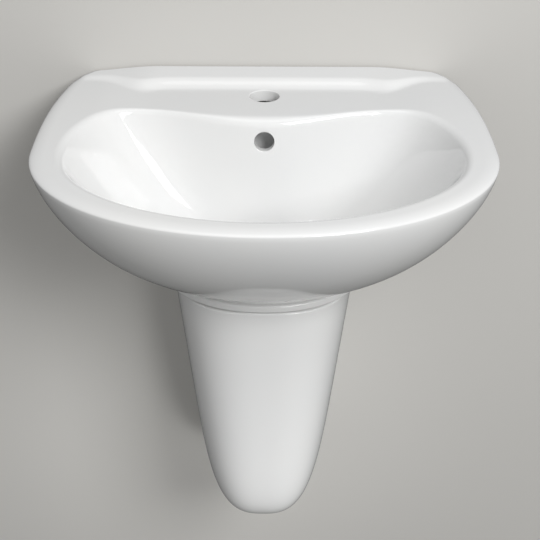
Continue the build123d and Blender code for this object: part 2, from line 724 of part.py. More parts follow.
def trap_inlet_nut():
    low = FLANGE_UNDER - NUT_LIP
    high = WASTE_END + INLET_NUT_REACH
    nut = rod(INLET_NUT_RADIUS, low, high)
    nut = ribbed(nut, INLET_NUT_RADIUS, low, high)
    return nut - rod(WASTE_RADIUS, FLANGE_UNDER, high + 1) - rod(SLEEVE, low - 1, FLANGE_UNDER)


def trap_inlet_washer():
    return ring(PIPE_FLANGE_RADIUS, PIPE_BORE, WASTE_END - JOINT_WASHER, WASTE_END)


def trap_inlet_pipe():
    pipe = ring(PIPE_FLANGE_RADIUS, PIPE_BORE, FLANGE_UNDER, FLANGE_UNDER + PIPE_FLANGE)
    return pipe + ring(PIPE_RADIUS, PIPE_BORE, DIP_END, FLANGE_UNDER)


def trap_slip_seal():
    return turned([
        (PIPE_RADIUS, TRAP_NECK_TOP),
        (SLIP_SEAL_RADIUS, TRAP_NECK_TOP),
        (SLIP_SEAL_RADIUS, TRAP_NECK_TOP + SLIP_SEAL_FACE),
        (PIPE_RADIUS + SLIP_SEAL_EDGE, TRAP_NECK_TOP + SLIP_SEAL),
        (PIPE_RADIUS, TRAP_NECK_TOP + SLIP_SEAL),
    ])


def trap_slip_nut():
    low = TRAP_TOP + SLIP_NUT_GAP
    shoulder = TRAP_NECK_TOP + SLIP_SEAL
    high = shoulder + NUT_LIP
    nut = rod(INLET_NUT_RADIUS, low, high)
    nut = ribbed(nut, INLET_NUT_RADIUS, low, high)
    return nut - rod(TRAP_NECK_RADIUS, low - 1, shoulder) - rod(SLEEVE, shoulder, high + 1)


def trap_body():
    body = rod(TRAP_RADIUS, TRAP_END, TRAP_TOP) + rod(TRAP_NECK_RADIUS, TRAP_TOP, TRAP_NECK_TOP)
    body += wall_rod(TRAP_NECK_RADIUS, WASTE_Y, STUB_END, 0, OUTLET_Z)
    body -= rod(TRAP_BORE, TRAP_END - 1, TRAP_TOP - CUP_WALL)
    body -= rod(SLEEVE, TRAP_TOP - CUP_WALL - 1, TRAP_NECK_TOP + 1)
    return body - wall_rod(SLEEVE, WASTE_Y, STUB_END + 1, 0, OUTLET_Z)


def trap_outlet_seal():
    outline = Polyline(
        (0, STUB_END, OUTLET_Z + PIPE_RADIUS),
        (0, STUB_END, OUTLET_Z + SLIP_SEAL_RADIUS),
        (0, STUB_END + SLIP_SEAL_FACE, OUTLET_Z + SLIP_SEAL_RADIUS),
        (0, STUB_END + SLIP_SEAL, OUTLET_Z + PIPE_RADIUS + SLIP_SEAL_EDGE),
        (0, STUB_END + SLIP_SEAL, OUTLET_Z + PIPE_RADIUS),
        close=True,
    )
    return revolve(make_face(outline), Axis((0, 0, OUTLET_Z), (0, 1, 0)))


def trap_outlet_nut():
    shoulder = STUB_END + SLIP_SEAL
    front = STUB_END - OUTLET_NUT_REACH
    back = shoulder + NUT_LIP
    nut = wall_rod(INLET_NUT_RADIUS, front, back, 0, OUTLET_Z)
    for rib in range(NUT_RIBS):
        turn = 2 * pi * rib / NUT_RIBS
        nut += wall_rod(
            RIB_RADIUS, front, back, INLET_NUT_RADIUS * cos(turn), OUTLET_Z + INLET_NUT_RADIUS * sin(turn)
        )
    nut -= wall_rod(TRAP_NECK_RADIUS, front - 1, shoulder, 0, OUTLET_Z)
    return nut - wall_rod(SLEEVE, shoulder, back + 1, 0, OUTLET_Z)


def outlet_pipe():
    pipe = wall_ring(PIPE_RADIUS, PIPE_BORE, OUTLET_PIPE_START, OUTLET_PIPE_END, 0, OUTLET_Z)
    # A shallow groove marks how far the pipe goes into the wall
    return pipe - wall_ring(PIPE_RADIUS + 1, PIPE_RADIUS - MARK_DEPTH, 0, MARK_WIDTH, 0, OUTLET_Z)


def wall_rosette():
    bore = PIPE_RADIUS + FREE
    outline = Polyline(
        (0, 0, OUTLET_Z + bore),
        (0, -ROSETTE_HEIGHT, OUTLET_Z + bore),
        (0, -ROSETTE_HEIGHT, OUTLET_Z + bore + ROSETTE_LIP),
        (0, -ROSETTE_EDGE, OUTLET_Z + ROSETTE_RADIUS),
        (0, 0, OUTLET_Z + ROSETTE_RADIUS),
        close=True,
    )
    return revolve(make_face(outline), Axis((0, 0, OUTLET_Z), (0, 1, 0)))


def trap_cup_seal():
    return ring(TRAP_RADIUS - 0.5, TRAP_BORE - 1, TRAP_END - CUP_SEAL, TRAP_END - RUNNING)


def trap_cup():
    shoulder = TRAP_END - CUP_SEAL
    grip_low = shoulder - CUP_SHOULDER
    grip_top = TRAP_END + CUP_THREAD
    cup = rod(CUP_BOWL_RADIUS, CUP_END, grip_low)
    cup = fillet(cup.edges().group_by(Axis.Z)[0], CUP_ROUND)
    cup += rod(CUP_GRIP_RADIUS, grip_low, grip_top)
    cup = ribbed(cup, CUP_GRIP_RADIUS, grip_low, grip_top)
    cup -= rod(TRAP_RADIUS + FREE, shoulder, grip_top + 1)
    hollow = rod(CUP_BOWL_RADIUS - CUP_WALL, CUP_END + CUP_WALL, shoulder + 1)
    return cup - fillet(hollow.edges().group_by(Axis.Z)[0], CUP_ROUND - CUP_WALL)


PIECES = {
    "basin": basin(),
    "semi_pedestal": semi_pedestal(),
    "waste_body": waste_body(),
    "waste_flange_seal": waste_flange_seal(),
    "waste_lower_washer": waste_lower_washer(),
    "waste_backnut": waste_backnut(),
    "plug_cap": plug_cap(),
    "plug_seal": plug_seal(),
    "plug_stem": plug_stem(),
    "plug_spring": plug_spring(),
    "click_cartridge": click_cartridge(),
    "trap_inlet_nut": trap_inlet_nut(),
    "trap_inlet_washer": trap_inlet_washer(),
    "trap_inlet_pipe": trap_inlet_pipe(),
    "trap_slip_nut": trap_slip_nut(),
    "trap_slip_seal": trap_slip_seal(),
    "trap_body": trap_body(),
    "trap_cup": trap_cup(),
    "trap_cup_seal": trap_cup_seal(),
    "trap_outlet_nut": trap_outlet_nut(),
    "trap_outlet_seal": trap_outlet_seal(),
    "outlet_pipe": outlet_pipe(),
    "wall_rosette": wall_rosette(),
}
PIECES.update(bolt_set(
    "basin", BASIN_BOLT_X, 0.0, BACK_WALL, BASIN_BOLT_RADIUS, BASIN_BOLT_TIP, BASIN_HOLE_RADIUS,
    BASIN_PLUG_RADIUS, BASIN_PLUG_LENGTH, BASIN_SCREW_DEPTH,
    BASIN_BUSH_RADIUS, BASIN_WASHER_RADIUS, BASIN_WASHER, BASIN_NUT_FLATS, BASIN_NUT_HEIGHT,
))
PIECES.update(bolt_set(
    "pedestal", PEDESTAL_BOLT_X, PEDESTAL_BOLT_Z, LUG_THICKNESS, PEDESTAL_BOLT_RADIUS, PEDESTAL_BOLT_TIP,
    PEDESTAL_HOLE_RADIUS, PEDESTAL_PLUG_RADIUS, PEDESTAL_PLUG_LENGTH, PEDESTAL_SCREW_DEPTH,
    PEDESTAL_BUSH_RADIUS, PEDESTAL_WASHER_RADIUS, PEDESTAL_WASHER, PEDESTAL_NUT_FLATS, PEDESTAL_NUT_HEIGHT,
))

os.makedirs("parts", exist_ok=True)
for name, piece in PIECES.items():
    export_step(piece, "parts/" + name + ".step")
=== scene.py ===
from math import cos, pi, radians, sin

import bmesh
import bpy
import numpy as np
from mathutils import Matrix, Vector


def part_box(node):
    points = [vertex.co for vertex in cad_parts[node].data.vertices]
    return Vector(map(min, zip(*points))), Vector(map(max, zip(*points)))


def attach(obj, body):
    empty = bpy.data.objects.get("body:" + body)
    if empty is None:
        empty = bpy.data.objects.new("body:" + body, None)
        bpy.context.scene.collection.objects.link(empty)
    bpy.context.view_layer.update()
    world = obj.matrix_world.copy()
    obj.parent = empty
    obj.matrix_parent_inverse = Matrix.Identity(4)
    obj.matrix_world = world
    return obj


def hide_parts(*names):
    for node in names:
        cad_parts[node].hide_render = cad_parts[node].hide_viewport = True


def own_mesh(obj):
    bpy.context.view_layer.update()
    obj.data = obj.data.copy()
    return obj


# Glazed washbasin on a wall with its half pedestal, dressed for the studio.
# Shapes are worked out in millimetres and become metres when a mesh is made.

MM = 0.001
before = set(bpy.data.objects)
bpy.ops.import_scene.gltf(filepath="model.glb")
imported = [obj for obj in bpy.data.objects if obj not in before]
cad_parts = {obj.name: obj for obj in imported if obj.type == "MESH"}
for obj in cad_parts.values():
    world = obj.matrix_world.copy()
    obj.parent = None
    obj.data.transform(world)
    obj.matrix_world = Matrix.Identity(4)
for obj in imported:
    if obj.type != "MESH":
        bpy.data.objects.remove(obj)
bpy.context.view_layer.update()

# Rim and apron of the basin, with depths from the wall; a power of 2 is an ellipse, a higher one squarer
RIM_Z = 90.0
HALF_WIDTH = 250.0
BASIN_DEPTH = 406.0
REAR_HALF_WIDTH = 233.5
REAR_CORNER = 54.0
CORNER_TURN = radians(60)
CORNER_END = radians(10)
SIDE_CURVE = 2.6
WIDEST = 217.0
RIM_POWER = 2.085
RIM_ROLL = 4.5
ROLL_INSET = 16.0
REAR_ROLL = 3.0
REAR_ROLL_START = -14.0
REAR_ROLL_BLEND = 10.0
APRON_DEPTH = 149.0
APRON_FRONT_POWER = 1.55
APRON_SIDE_POWER = 1.55
APRON_PLAN_POWER = 2.45
APRON_WIDEST = 141.0
APRON_CORNER = 22.0
APRON_END = 0.95
APRON_HANDLE = 0.2
APRON_TIP = 0.004
FRONT_DROP = 5.0
FRONT_TURN = radians(50)
SCOOP_END_X = 34.0
SCOOP_LIFT = 1.0
CHINA = 9.0
BACK_WALL = 12.0
DECK = 16.5

# Neck and collar over the half pedestal
NECK_HALF_WIDTH = 114.0
NECK_FRONT = 262.0
NECK_WIDEST = 158.0
NECK_POWER = 2.1
NECK_STEP = 2.0
COLLAR_OUT = 3.5
COLLAR_STEP = 0.5
COLLAR_FOOT_EDGE = 1.5
COLLAR_Z = RIM_Z - 177.0
COLLAR_TOP = COLLAR_Z + 9.0
UNDERSIDE_Z = RIM_Z - APRON_DEPTH
NECK_CURVE = 6.0
NECK_TOP_DROP = 4.0
PIPE_GAP_HALF_WIDTH = 104.0

# Ledge along the wall and sunk tap platform
LEDGE_HEIGHT = 9.5
LEDGE_SLOPE = 0.45
LEDGE_CREST = 29.0
LEDGE_FOOT = 48.0
LEDGE_BULGE = 8.0
LEDGE_BULGE_X = 148.0
LEDGE_BULGE_WIDTH = 22.0
LEDGE_TURN = 140.0
LEDGE_TURN_END = 200.0
LEDGE_END_FOOT = 27.0
LEDGE_FADE = 125.0
LEDGE_END = 226.0
LEDGE_END_HEIGHT = 2.0
PLATFORM_DROP = 3.0
PLATFORM_FLAT = 125.0
PLATFORM_END = 195.0
PLATFORM_FADE = 130.0
PLATFORM_FADE_LENGTH = 60.0
TAP_HOLE_RADIUS = 17.5
TAP_HOLE_Y = -65.0
TAP_HOLE_FLARE = 1.2
TAP_HOLE_REACH = 2 * DECK

# Bowl, star shaped about the waste
WASTE_Y = -195.0
BOWL_DEPTH = 138.0
BOWL_FRONT = 375.0
BOWL_HALF_WIDTH = 213.0
BOWL_WIDEST = 225.0
BOWL_REAR = 135.0
BOWL_POWER = 2.2
BOWL_FRONT_ANGLES = (72, 54, 36, 18, 0)
BOWL_SHOULDERS = [(201, 157), (165, 114), (135, 109), (74, 122)]
LIP_RADIUS = 12.0
FLOOR_RADIUS = 33.0
FLOOR_Z = RIM_Z - BOWL_DEPTH
WASTE_HOLE_RADIUS = 23.0
WASTE_EDGE = 2.0
BOSS_RADIUS = 38.0
BOSS_Z = FLOOR_Z - 28.0
BOSS_SHOULDER = 4.0
OVERFLOW_RADIUS = 11.5
OVERFLOW_Z = RIM_Z - 29.0
OVERFLOW_FLARE = 1.0
OVERFLOW_REACH = 22.0
OVERFLOW_LEAN = 0.1

# Overflow channel cast behind the bowl
CHANNEL_HALF_WIDTH = 13.0
CHANNEL_WALL = 8.0
CHANNEL_REAR = -104.0
CHANNEL_FRONT = -127.0
CHANNEL_TOP = OVERFLOW_Z + 14.0
CHANNEL_KNEE = 5.0
CHANNEL_FOOT = BOSS_Z + 8.0
CHANNEL_FOOT_HEIGHT = 11.0

# Half pedestal
PEDESTAL_TOP = COLLAR_Z - 3.5
PEDESTAL_HEIGHT = 365.5
PEDESTAL_HALF_WIDTH = 107.0
PEDESTAL_WIDEST = 120.0
PEDESTAL_FRONT = 261.0
PEDESTAL_SIDE_TAPER = 0.41
PEDESTAL_FRONT_TAPER = 0.07
PEDESTAL_SIDE_POWER = 8.0
PEDESTAL_FRONT_POWER = 14.0
PEDESTAL_PLAN_POWER = 2.8
PEDESTAL_WALL = 10.0
PEDESTAL_EDGE = 2.5
SEAT_INSET = 6.5
SEAT_WIDTH = 3.0
SEAT_CLEARANCE = 0.1
LUG_INNER_X = 48.0
LUG_OUTER_X = 82.0
LUG_THICKNESS = 16.0
LUG_HALF_HEIGHT = 20.0

# Wall fixings
BASIN_BOLT_X = 140.0
BASIN_HOLE_RADIUS = 10.0
PEDESTAL_BOLT_X = 64.0
PEDESTAL_BOLT_Z = -250.0
PEDESTAL_HOLE_RADIUS = 5.5
BASIN_BOLT_RADIUS = 5.0
BASIN_BOLT_END = -34.5
PEDESTAL_BOLT_RADIUS = 3.0
PEDESTAL_BOLT_END = -30.8
BASIN_PLUG_RADIUS = 7.0
BASIN_PLUG_LENGTH = 70.0
PEDESTAL_PLUG_RADIUS = 5.0
PEDESTAL_PLUG_LENGTH = 50.0
PLUG_COLLAR = 2.0
PLUG_TIP = 8.0
PLUG_PITCH = 5.0
PLUG_BARB = 0.8
PLUG_BARB_RISE = 0.3
PLUG_SLIT = 1.6
PLUG_SLIT_START = 1 / 3

# Screw threads on the bolts, and on the waste under the backnut
BASIN_THREAD_RIDGE = 0.5
BASIN_THREAD_TURNS = 6.0
BASIN_THREAD_LENGTH = 9.0
PEDESTAL_THREAD_RIDGE = 0.33
PEDESTAL_THREAD_TURNS = 5.0
PEDESTAL_THREAD_LENGTH = 5.0
WASTE_RADIUS = 20.9
WASTE_THREAD_Z = -115.0
WASTE_THREAD_RIDGE = 0.6
WASTE_THREAD_TURNS = 8.0
WASTE_THREAD_LENGTH = 18.0
THREAD_SIDES = 6
WINDING_STEPS = 40

# Spring that lifts the plug
SPRING_COIL = 5.6
SPRING_WIRE = 0.7
SPRING_TURNS = 8.0
SPRING_SIDES = 12

# Fineness of the meshes
COLUMNS = 360
CORNER_POINTS = 40
REAR_POINTS = 160
SIDE_POINTS = 120
FRONT_POINTS = 240
EDGE_POINTS = 40
BOWL_ROWS = 44
LIP_ROWS = 10
DECK_ROWS = 14
LEDGE_ROWS = 30
LEDGE_SHARE = 0.58
ROLL_ROWS = 12
APRON_ROWS = 44
NECK_ROWS = 17
COLLAR_ROWS = 7
EDGE_ROWS = 5
HULL_ROWS = 14
SHELL_ROWS = 16
FLARE_ROWS = 7
PEDESTAL_ROWS = 60
PEDESTAL_EDGE_ROWS = 6
EDGE_ROOM = 1.5
PEDESTAL_SIDE_COLUMNS = 24
PEDESTAL_FRONT_COLUMNS = 121
PEDESTAL_COLUMNS = PEDESTAL_FRONT_COLUMNS + 2 * PEDESTAL_SIDE_COLUMNS
HOLE_SIDES = 64
BASIN_HOLE_SIDES = 48
PEDESTAL_HOLE_SIDES = 32
PLUG_SIDES = 32
PLUG_BORE_SIDES = 24
CHINA_SMOOTH = 38
PLUG_SMOOTH = 30
SLIVER = 0.002

# Room that a cutter has beyond the piece it cuts
CUT_PAST = 2.0
CUT_SLIGHT = 1.0
FLARE_SIDE = 1.05
FLARE_LIFT = 0.02

# Glaze, and the bare clay at the back of the china
GLAZE_TONES = ((0.81, 0.81, 0.80), (0.785, 0.79, 0.79))
GLAZE_PATCH = 5.0
GLAZE_ROUGH = (0.045, 0.085)
GLAZE_ROUGH_PATCH = 14.0
GLAZE_IOR = 1.52
RIPPLE_PATCH = 45.0
RIPPLE_STRENGTH = 0.25
RIPPLE_DEPTH = 0.12
CLAY_TONES = ((0.66, 0.60, 0.52), (0.56, 0.50, 0.43))
CLAY_PATCH = 60.0
CLAY_ROUGH = 0.8
CLAY_START_Y = -1.4
CLAY_FULL_Y = -0.6

# Noise that all finishes share
NOISE_DETAIL = 4.0
NOISE_LOW = 0.3
NOISE_HIGH = 0.7
ROUGH_PER_PATCH = 3
GRAIN_STRENGTH = 0.5

# Studio, in metres and watts
FLOOR_LEVEL = -0.76
WALL_TOP = 3.0
WALL_Y = 0.0005
STAGE_HALF = 5.0
STAGE_SEEN = (0.60, 0.59, 0.565)
STAGE_BOUNCED = (0.20, 0.20, 0.195)
STAGE_ROUGH = 0.9
KEY_AT = (1.25, -2.45, 1.7)
KEY_AIM = (0.0, -0.2, -0.15)
KEY_SIZE = 1.2
KEY_POWER = 63.0
OVERHEAD_AT = (0.1, -0.5, 2.2)
OVERHEAD_AIM = (0.0, -0.2, 0.0)
OVERHEAD_WIDTH = 1.8
OVERHEAD_HEIGHT = 1.4
OVERHEAD_POWER = 9.0
LOW_AT = (0.6, -1.9, -0.2)
LOW_AIM = (0.0, -0.2, -0.40)
LOW_SIZE = 0.4
LOW_POWER = 0.15
LOW_SPREAD = radians(18)
SKY_STRENGTH = 0.45

# Camera at the photograph's angle, with its lens in pixels of the 540 pixel frame
PHOTO_WIDTH = 540
FOCAL_PIXELS = 1294.0
AXIS_COLUMN = 263.7
SENSOR = 36.0
CAMERA_AT = (0.0, -1.474, 0.679)
CAMERA_TILT = radians(30.45)
CAMERA_PAN = radians(0.25)


# Meshes

def new_piece(name, points, faces):
    """Closed mesh object from points in millimetres."""
    mesh = bpy.data.meshes.new(name)
    mesh.from_pydata(np.asarray(points) * MM, [], faces)
    mesh.validate()
    piece = bpy.data.objects.new(name, mesh)
    bpy.context.scene.collection.objects.link(piece)
    work = bmesh.new()
    work.from_mesh(mesh)
    bmesh.ops.recalc_face_normals(work, faces=work.faces)
    work.to_mesh(mesh)
    work.free()
    return piece


def ring_faces(rows, columns, closed_rows):
    """Quads of a grid whose columns go round, and whose rows may go round too."""
    faces = []
    for row in range(rows if closed_rows else rows - 1):
        near = row * columns
        far = (row + 1) % rows * columns
        for column in range(columns):
            after = (column + 1) % columns
            faces.append((near + column, near + after, far + after, far + column))
    return faces


def turned_piece(name, profile, steps, origin, axis):
    """Closed solid turned about an axis from (radius, height) points that start and end on it."""
    lean = Vector((0, 0, 1)).rotation_difference(Vector(axis)).to_matrix()
    points = [origin + lean @ Vector((0, 0, profile[0][1]))]
    for radius, height in profile[1:-1]:
        for step in range(steps):
            turn = 2 * pi * step / steps
            points.append(origin + lean @ Vector((radius * cos(turn), radius * sin(turn), height)))
    points.append(origin + lean @ Vector((0, 0, profile[-1][1])))
    rows = len(profile) - 2
    last = len(points) - 1
    faces = [tuple(index + 1 for index in face) for face in ring_faces(rows, steps, False)]
    for step in range(steps):
        after = (step + 1) % steps
        faces.append((0, after + 1, step + 1))
        faces.append((last, last - steps + step, last - steps + after))
    return new_piece(name, points, faces)


def prism_piece(name, outline, half_width):
    """Solid with one outline in the YZ plane, as wide to the left as to the right."""
    count = len(outline)
    points = [(side * half_width, y, z) for side in (-1, 1) for y, z in outline]
    faces = [tuple(range(count)), tuple(range(count, 2 * count))]
    for index in range(count):
        after = (index + 1) % count
        faces.append((index, after, count + after, count + index))
    return new_piece(name, points, faces)


def box_piece(name, low, high):
    """Box between two corners."""
    outline = [(low[1], low[2]), (high[1], low[2]), (high[1], high[2]), (low[1], high[2])]
    piece = prism_piece(name, outline, (high[0] - low[0]) / 2)
    piece.data.transform(Matrix.Translation(((low[0] + high[0]) / 2 * MM, 0, 0)))
    return piece


def apply_modifiers(piece):
    """Turns the evaluated piece into its plain mesh."""
    bpy.context.view_layer.update()
    graph = bpy.context.evaluated_depsgraph_get()
    mesh = bpy.data.meshes.new_from_object(piece.evaluated_get(graph))
    piece.modifiers.clear()
    piece.data = mesh


def combine(piece, tools, operation):
    """Joins the tools to the piece, or cuts them out of it, and clears the slivers this leaves."""
    for tool in tools:
        cut = piece.modifiers.new(tool.name, "BOOLEAN")
        cut.operation = operation
        cut.solver = "MANIFOLD"
        cut.object = tool
    apply_modifiers(piece)
    for tool in tools:
        bpy.data.objects.remove(tool)
    work = bmesh.new()
    work.from_mesh(piece.data)
    bmesh.ops.remove_doubles(work, verts=work.verts, dist=SLIVER * MM)
    bmesh.ops.dissolve_degenerate(work, dist=SLIVER * MM, edges=work.edges)
    work.to_mesh(piece.data)
    work.free()


def smooth_by_angle(piece, angle):
    """Smooth shading, with the edges sharper than the angle kept crisp."""
    mesh = piece.data
    mesh.shade_smooth()
    mesh.set_sharp_from_angle(angle=radians(angle))


def eased(value):
    """Smooth step from 0 to 1."""
    value = np.clip(value, 0.0, 1.0)
    return value * value * (3 - 2 * value)


# Plan outlines of the basin, and how far each reaches from the waste in every direction

def plan_outline(half_width, front, widest, power, rear_half_width, corner, rear):
    """Right half of an outline, from the rear centre round to the front centre."""
    corner_turns = np.linspace(CORNER_TURN, CORNER_END, CORNER_POINTS)
    corner_x = rear_half_width - corner + corner * np.cos(corner_turns)
    corner_y = rear - corner * (sin(CORNER_TURN) - np.sin(corner_turns))
    rear_x = np.linspace(0, corner_x[0], REAR_POINTS)[:-1]
    back = np.linspace(1, 0, SIDE_POINTS)[1:]
    side_x = half_width - (half_width - corner_x[-1]) * back ** SIDE_CURVE
    side_y = -widest + (corner_y[-1] + widest) * back
    front_turns = np.linspace(0, pi / 2, FRONT_POINTS)[1:]
    front_x = half_width * np.cos(front_turns) ** (2 / power)
    front_y = -widest - (front - widest) * np.sin(front_turns) ** (2 / power)
    x = np.concatenate([rear_x, corner_x, side_x, front_x])
    y = np.concatenate([np.full(len(rear_x), rear), corner_y, side_y, front_y])
    return x, y


def apron_size(fraction):
    """Plan sizes of the apron, from rim (0) to underside (1)."""
    front_share = (1 - fraction ** APRON_FRONT_POWER) ** (1 / APRON_FRONT_POWER)
    side_share = (1 - fraction ** APRON_SIDE_POWER) ** (1 / APRON_SIDE_POWER)
    half_width = NECK_HALF_WIDTH + (HALF_WIDTH - NECK_HALF_WIDTH) * side_share
    rear_half_width = NECK_HALF_WIDTH + (REAR_HALF_WIDTH - NECK_HALF_WIDTH) * side_share
    front = NECK_FRONT + (BASIN_DEPTH - NECK_FRONT) * front_share
    widest = WIDEST + (APRON_WIDEST - WIDEST) * fraction
    power = RIM_POWER + (APRON_PLAN_POWER - RIM_POWER) * fraction
    corner = REAR_CORNER + (APRON_CORNER - REAR_CORNER) * fraction
    return half_width, front, widest, power, rear_half_width, corner


def apron_outline(fraction, inset, rear):
    """Outline of the apron at a share of its depth, drawn in by an inset."""
    half_width, front, widest, power, rear_half_width, corner = apron_size(fraction)
    return plan_outline(
        half_width - inset, front - inset, widest, power, rear_half_width - inset, corner - inset, rear
    )


def neck_outline(outset, rear):
    """Outline of the neck, drawn out by an outset."""
    return plan_outline(
        NECK_HALF_WIDTH + outset, NECK_FRONT + outset, NECK_WIDEST, NECK_POWER,
        NECK_HALF_WIDTH + outset, APRON_CORNER, rear,
    )


def column_turns():
    """Directions of the columns about the waste, evenly spaced along the rim."""
    x, y = apron_outline(0.0, 0.0, 0.0)
    length = np.concatenate([[0], np.cumsum(np.hypot(np.diff(x), np.diff(y)))])
    stations = np.linspace(0, length[-1], COLUMNS // 2 + 1)
    right = np.interp(stations, length, np.arctan2(x, y - WASTE_Y))
    return np.concatenate([right, -right[-2:0:-1]])


TURNS = column_turns()
ACROSS = np.sin(TURNS)
BACKWARD = np.cos(TURNS)


def reach(outline):
    """Distance from the waste to the outline along each column."""
    x, y = outline
    return np.interp(np.abs(TURNS), np.arctan2(x, y - WASTE_Y), np.hypot(x, y - WASTE_Y))


def smooth_loop(points, samples):
    """Closed smooth curve through the points: a periodic cubic spline on chord lengths."""
    loop = np.array(points, float)
    count = len(loop)
    chord = np.hypot(*(np.roll(loop, -1, 0) - loop).T)
    slope = (np.roll(loop, -1, 0) - loop) / chord[:, None]
    matrix = np.zeros((count, count))
    right = 6 * (slope - np.roll(slope, 1, 0))
    for index in range(count):
        before = chord[index - 1]
        after = chord[index]
        matrix[index, index - 1] = before
        matrix[index, index] = 2 * (before + after)
        matrix[index, (index + 1) % count] = after
    bend = np.linalg.solve(matrix, right)
    curve = []
    for index in range(count):
        following = (index + 1) % count
        span = chord[index]
        along = np.linspace(0, span, samples, endpoint=False)[:, None]
        left = span - along
        curve.append(
            (bend[index] * left ** 3 + bend[following] * along ** 3) / (6 * span)
            + (loop[index] / span - bend[index] * span / 6) * left
            + (loop[following] / span - bend[following] * span / 6) * along
        )
    return np.concatenate(curve).T


def bowl_edge():
    """Reach of the bowl's edge just under its lip."""
    right = []
    for angle in BOWL_FRONT_ANGLES:
        turn = radians(angle)
        right.append((BOWL_HALF_WIDTH * cos(turn), -BOWL_WIDEST - (BOWL_FRONT - BOWL_WIDEST) * sin(turn)))
    right += [(x, -y) for x, y in BOWL_SHOULDERS]
    left = [(-x, y) for x, y in reversed(right)]
    x, y = smooth_loop([(0, -BOWL_FRONT)] + right + [(0, -BOWL_REAR)] + left, EDGE_POINTS)
    turns = np.arctan2(x, y - WASTE_Y)
    order = np.argsort(turns)
    return np.interp(TURNS, turns[order], np.hypot(x, y - WASTE_Y)[order], period=2 * pi)


# Basin

def deck_height(x, y):
    """Height of the top over the rim: the ledge along the wall and the sunk tap platform."""
    across = np.abs(x)
    from_wall = -y
    bulge = LEDGE_BULGE * np.exp(-((across - LEDGE_BULGE_X) / LEDGE_BULGE_WIDTH) ** 2)
    turn_back = eased((across - LEDGE_TURN) / (LEDGE_TURN_END - LEDGE_TURN))
    foot = LEDGE_FOOT + bulge + (LEDGE_END_FOOT - LEDGE_FOOT) * turn_back
    crest = LEDGE_CREST * foot / LEDGE_FOOT
    ledge = (1 - LEDGE_SLOPE * from_wall / foot) * (1 - eased((from_wall - crest) / (foot - crest)))
    platform = 1 - eased((across - PLATFORM_FLAT) / (PLATFORM_END - PLATFORM_FLAT))
    low = -PLATFORM_DROP * platform * (1 - eased((from_wall - PLATFORM_FADE) / PLATFORM_FADE_LENGTH))
    fade = eased((across - LEDGE_FADE) / (LEDGE_END - LEDGE_FADE))
    high = LEDGE_HEIGHT + (LEDGE_END_HEIGHT - LEDGE_HEIGHT) * fade
    return low + (high - low) * ledge


def place(radius, height):
    """One row of points at a reach from the waste and a height, both along the columns."""
    row = np.empty((COLUMNS, 3))
    row[:, 0] = ACROSS * radius
    row[:, 1] = WASTE_Y + BACKWARD * radius
    row[:, 2] = height
    return row


def apron_rows():
    """Apron from the rolled rim down, and the hollow curve that turns it into the neck."""
    neck = reach(neck_outline(-NECK_STEP, 0.0))
    scoop = 1 - eased(np.abs(ACROSS * neck) / SCOOP_END_X)
    scoop[BACKWARD > 0] = 0.0
    front = 1 - eased((pi - np.abs(TURNS)) / FRONT_TURN)
    drop = FRONT_DROP * front - SCOOP_LIFT * scoop
    depth = APRON_DEPTH - RIM_ROLL + drop
    rows = []
    for step in np.sin(np.linspace(0, pi / 2, APRON_ROWS)):
        at = step * APRON_END
        rows.append((reach(apron_outline(at, 0.0, 0.0)), RIM_Z - RIM_ROLL - depth * at))
    radius, height = rows[-1]
    inward = reach(apron_outline(APRON_END - APRON_TIP, 0.0, 0.0)) - radius
    down = APRON_TIP * depth
    low = UNDERSIDE_Z - NECK_CURVE - drop
    distance = np.hypot(radius - neck, height - low)
    handle = APRON_HANDLE * distance / np.hypot(inward, down)
    # A cubic curve leaves along the apron's own slope and arrives upright on the neck
    for along in np.linspace(0, 1, NECK_ROWS)[1:]:
        start = (1 - along) ** 3
        leave = 3 * along * (1 - along) ** 2
        arrive = 3 * along ** 2 * (1 - along)
        settle = along ** 3
        rows.append((
            radius * start + (radius - inward * handle) * leave + neck * (arrive + settle),
            height * start + (height - down * handle) * leave
            + (low + NECK_CURVE) * arrive + low * settle,
        ))
    return rows


def collar_rows():
    """Groove over the collar, its rounded edges and its foot."""
    rows = []
    for turn in np.linspace(pi, 1.5 * pi, EDGE_ROWS):
        rows.append((NECK_STEP * cos(turn), COLLAR_TOP + NECK_STEP + NECK_STEP * sin(turn)))
    edge = COLLAR_OUT - COLLAR_STEP
    for turn in np.linspace(pi / 2, 0, COLLAR_ROWS):
        rows.append((COLLAR_STEP + edge * cos(turn), COLLAR_TOP - edge + edge * sin(turn)))
    edge = COLLAR_FOOT_EDGE
    for turn in np.linspace(0, pi / 2, EDGE_ROWS):
        rows.append((COLLAR_OUT - edge + edge * cos(turn), COLLAR_Z + edge - edge * sin(turn)))
    return [(reach(neck_outline(outset, 0.0)), height) for outset, height in rows]


def hollow_rows(apron):
    """Inside of the neck, the hull and the deck, one wall behind the apron."""
    outside = np.array([radius for radius, height in apron])
    heights = np.array([np.broadcast_to(height, COLUMNS) for radius, height in apron])
    inside = reach(neck_outline(-NECK_STEP - CHINA, -BACK_WALL))
    rows = [(inside, COLLAR_Z), (inside, UNDERSIDE_Z - NECK_TOP_DROP)]
    top = (CHINA + DECK - RIM_ROLL) / (APRON_DEPTH - RIM_ROLL)
    for fraction in np.linspace(APRON_END, top, HULL_ROWS):
        height = RIM_Z - RIM_ROLL - (APRON_DEPTH - RIM_ROLL) * fraction + CHINA
        limit = [np.interp(-height, -heights[:, at], outside[:, at]) for at in range(COLUMNS)]
        hull = reach(apron_outline(fraction, CHINA, -BACK_WALL))
        rows.append((np.minimum(hull, np.array(limit) - CHINA), height))
    return rows


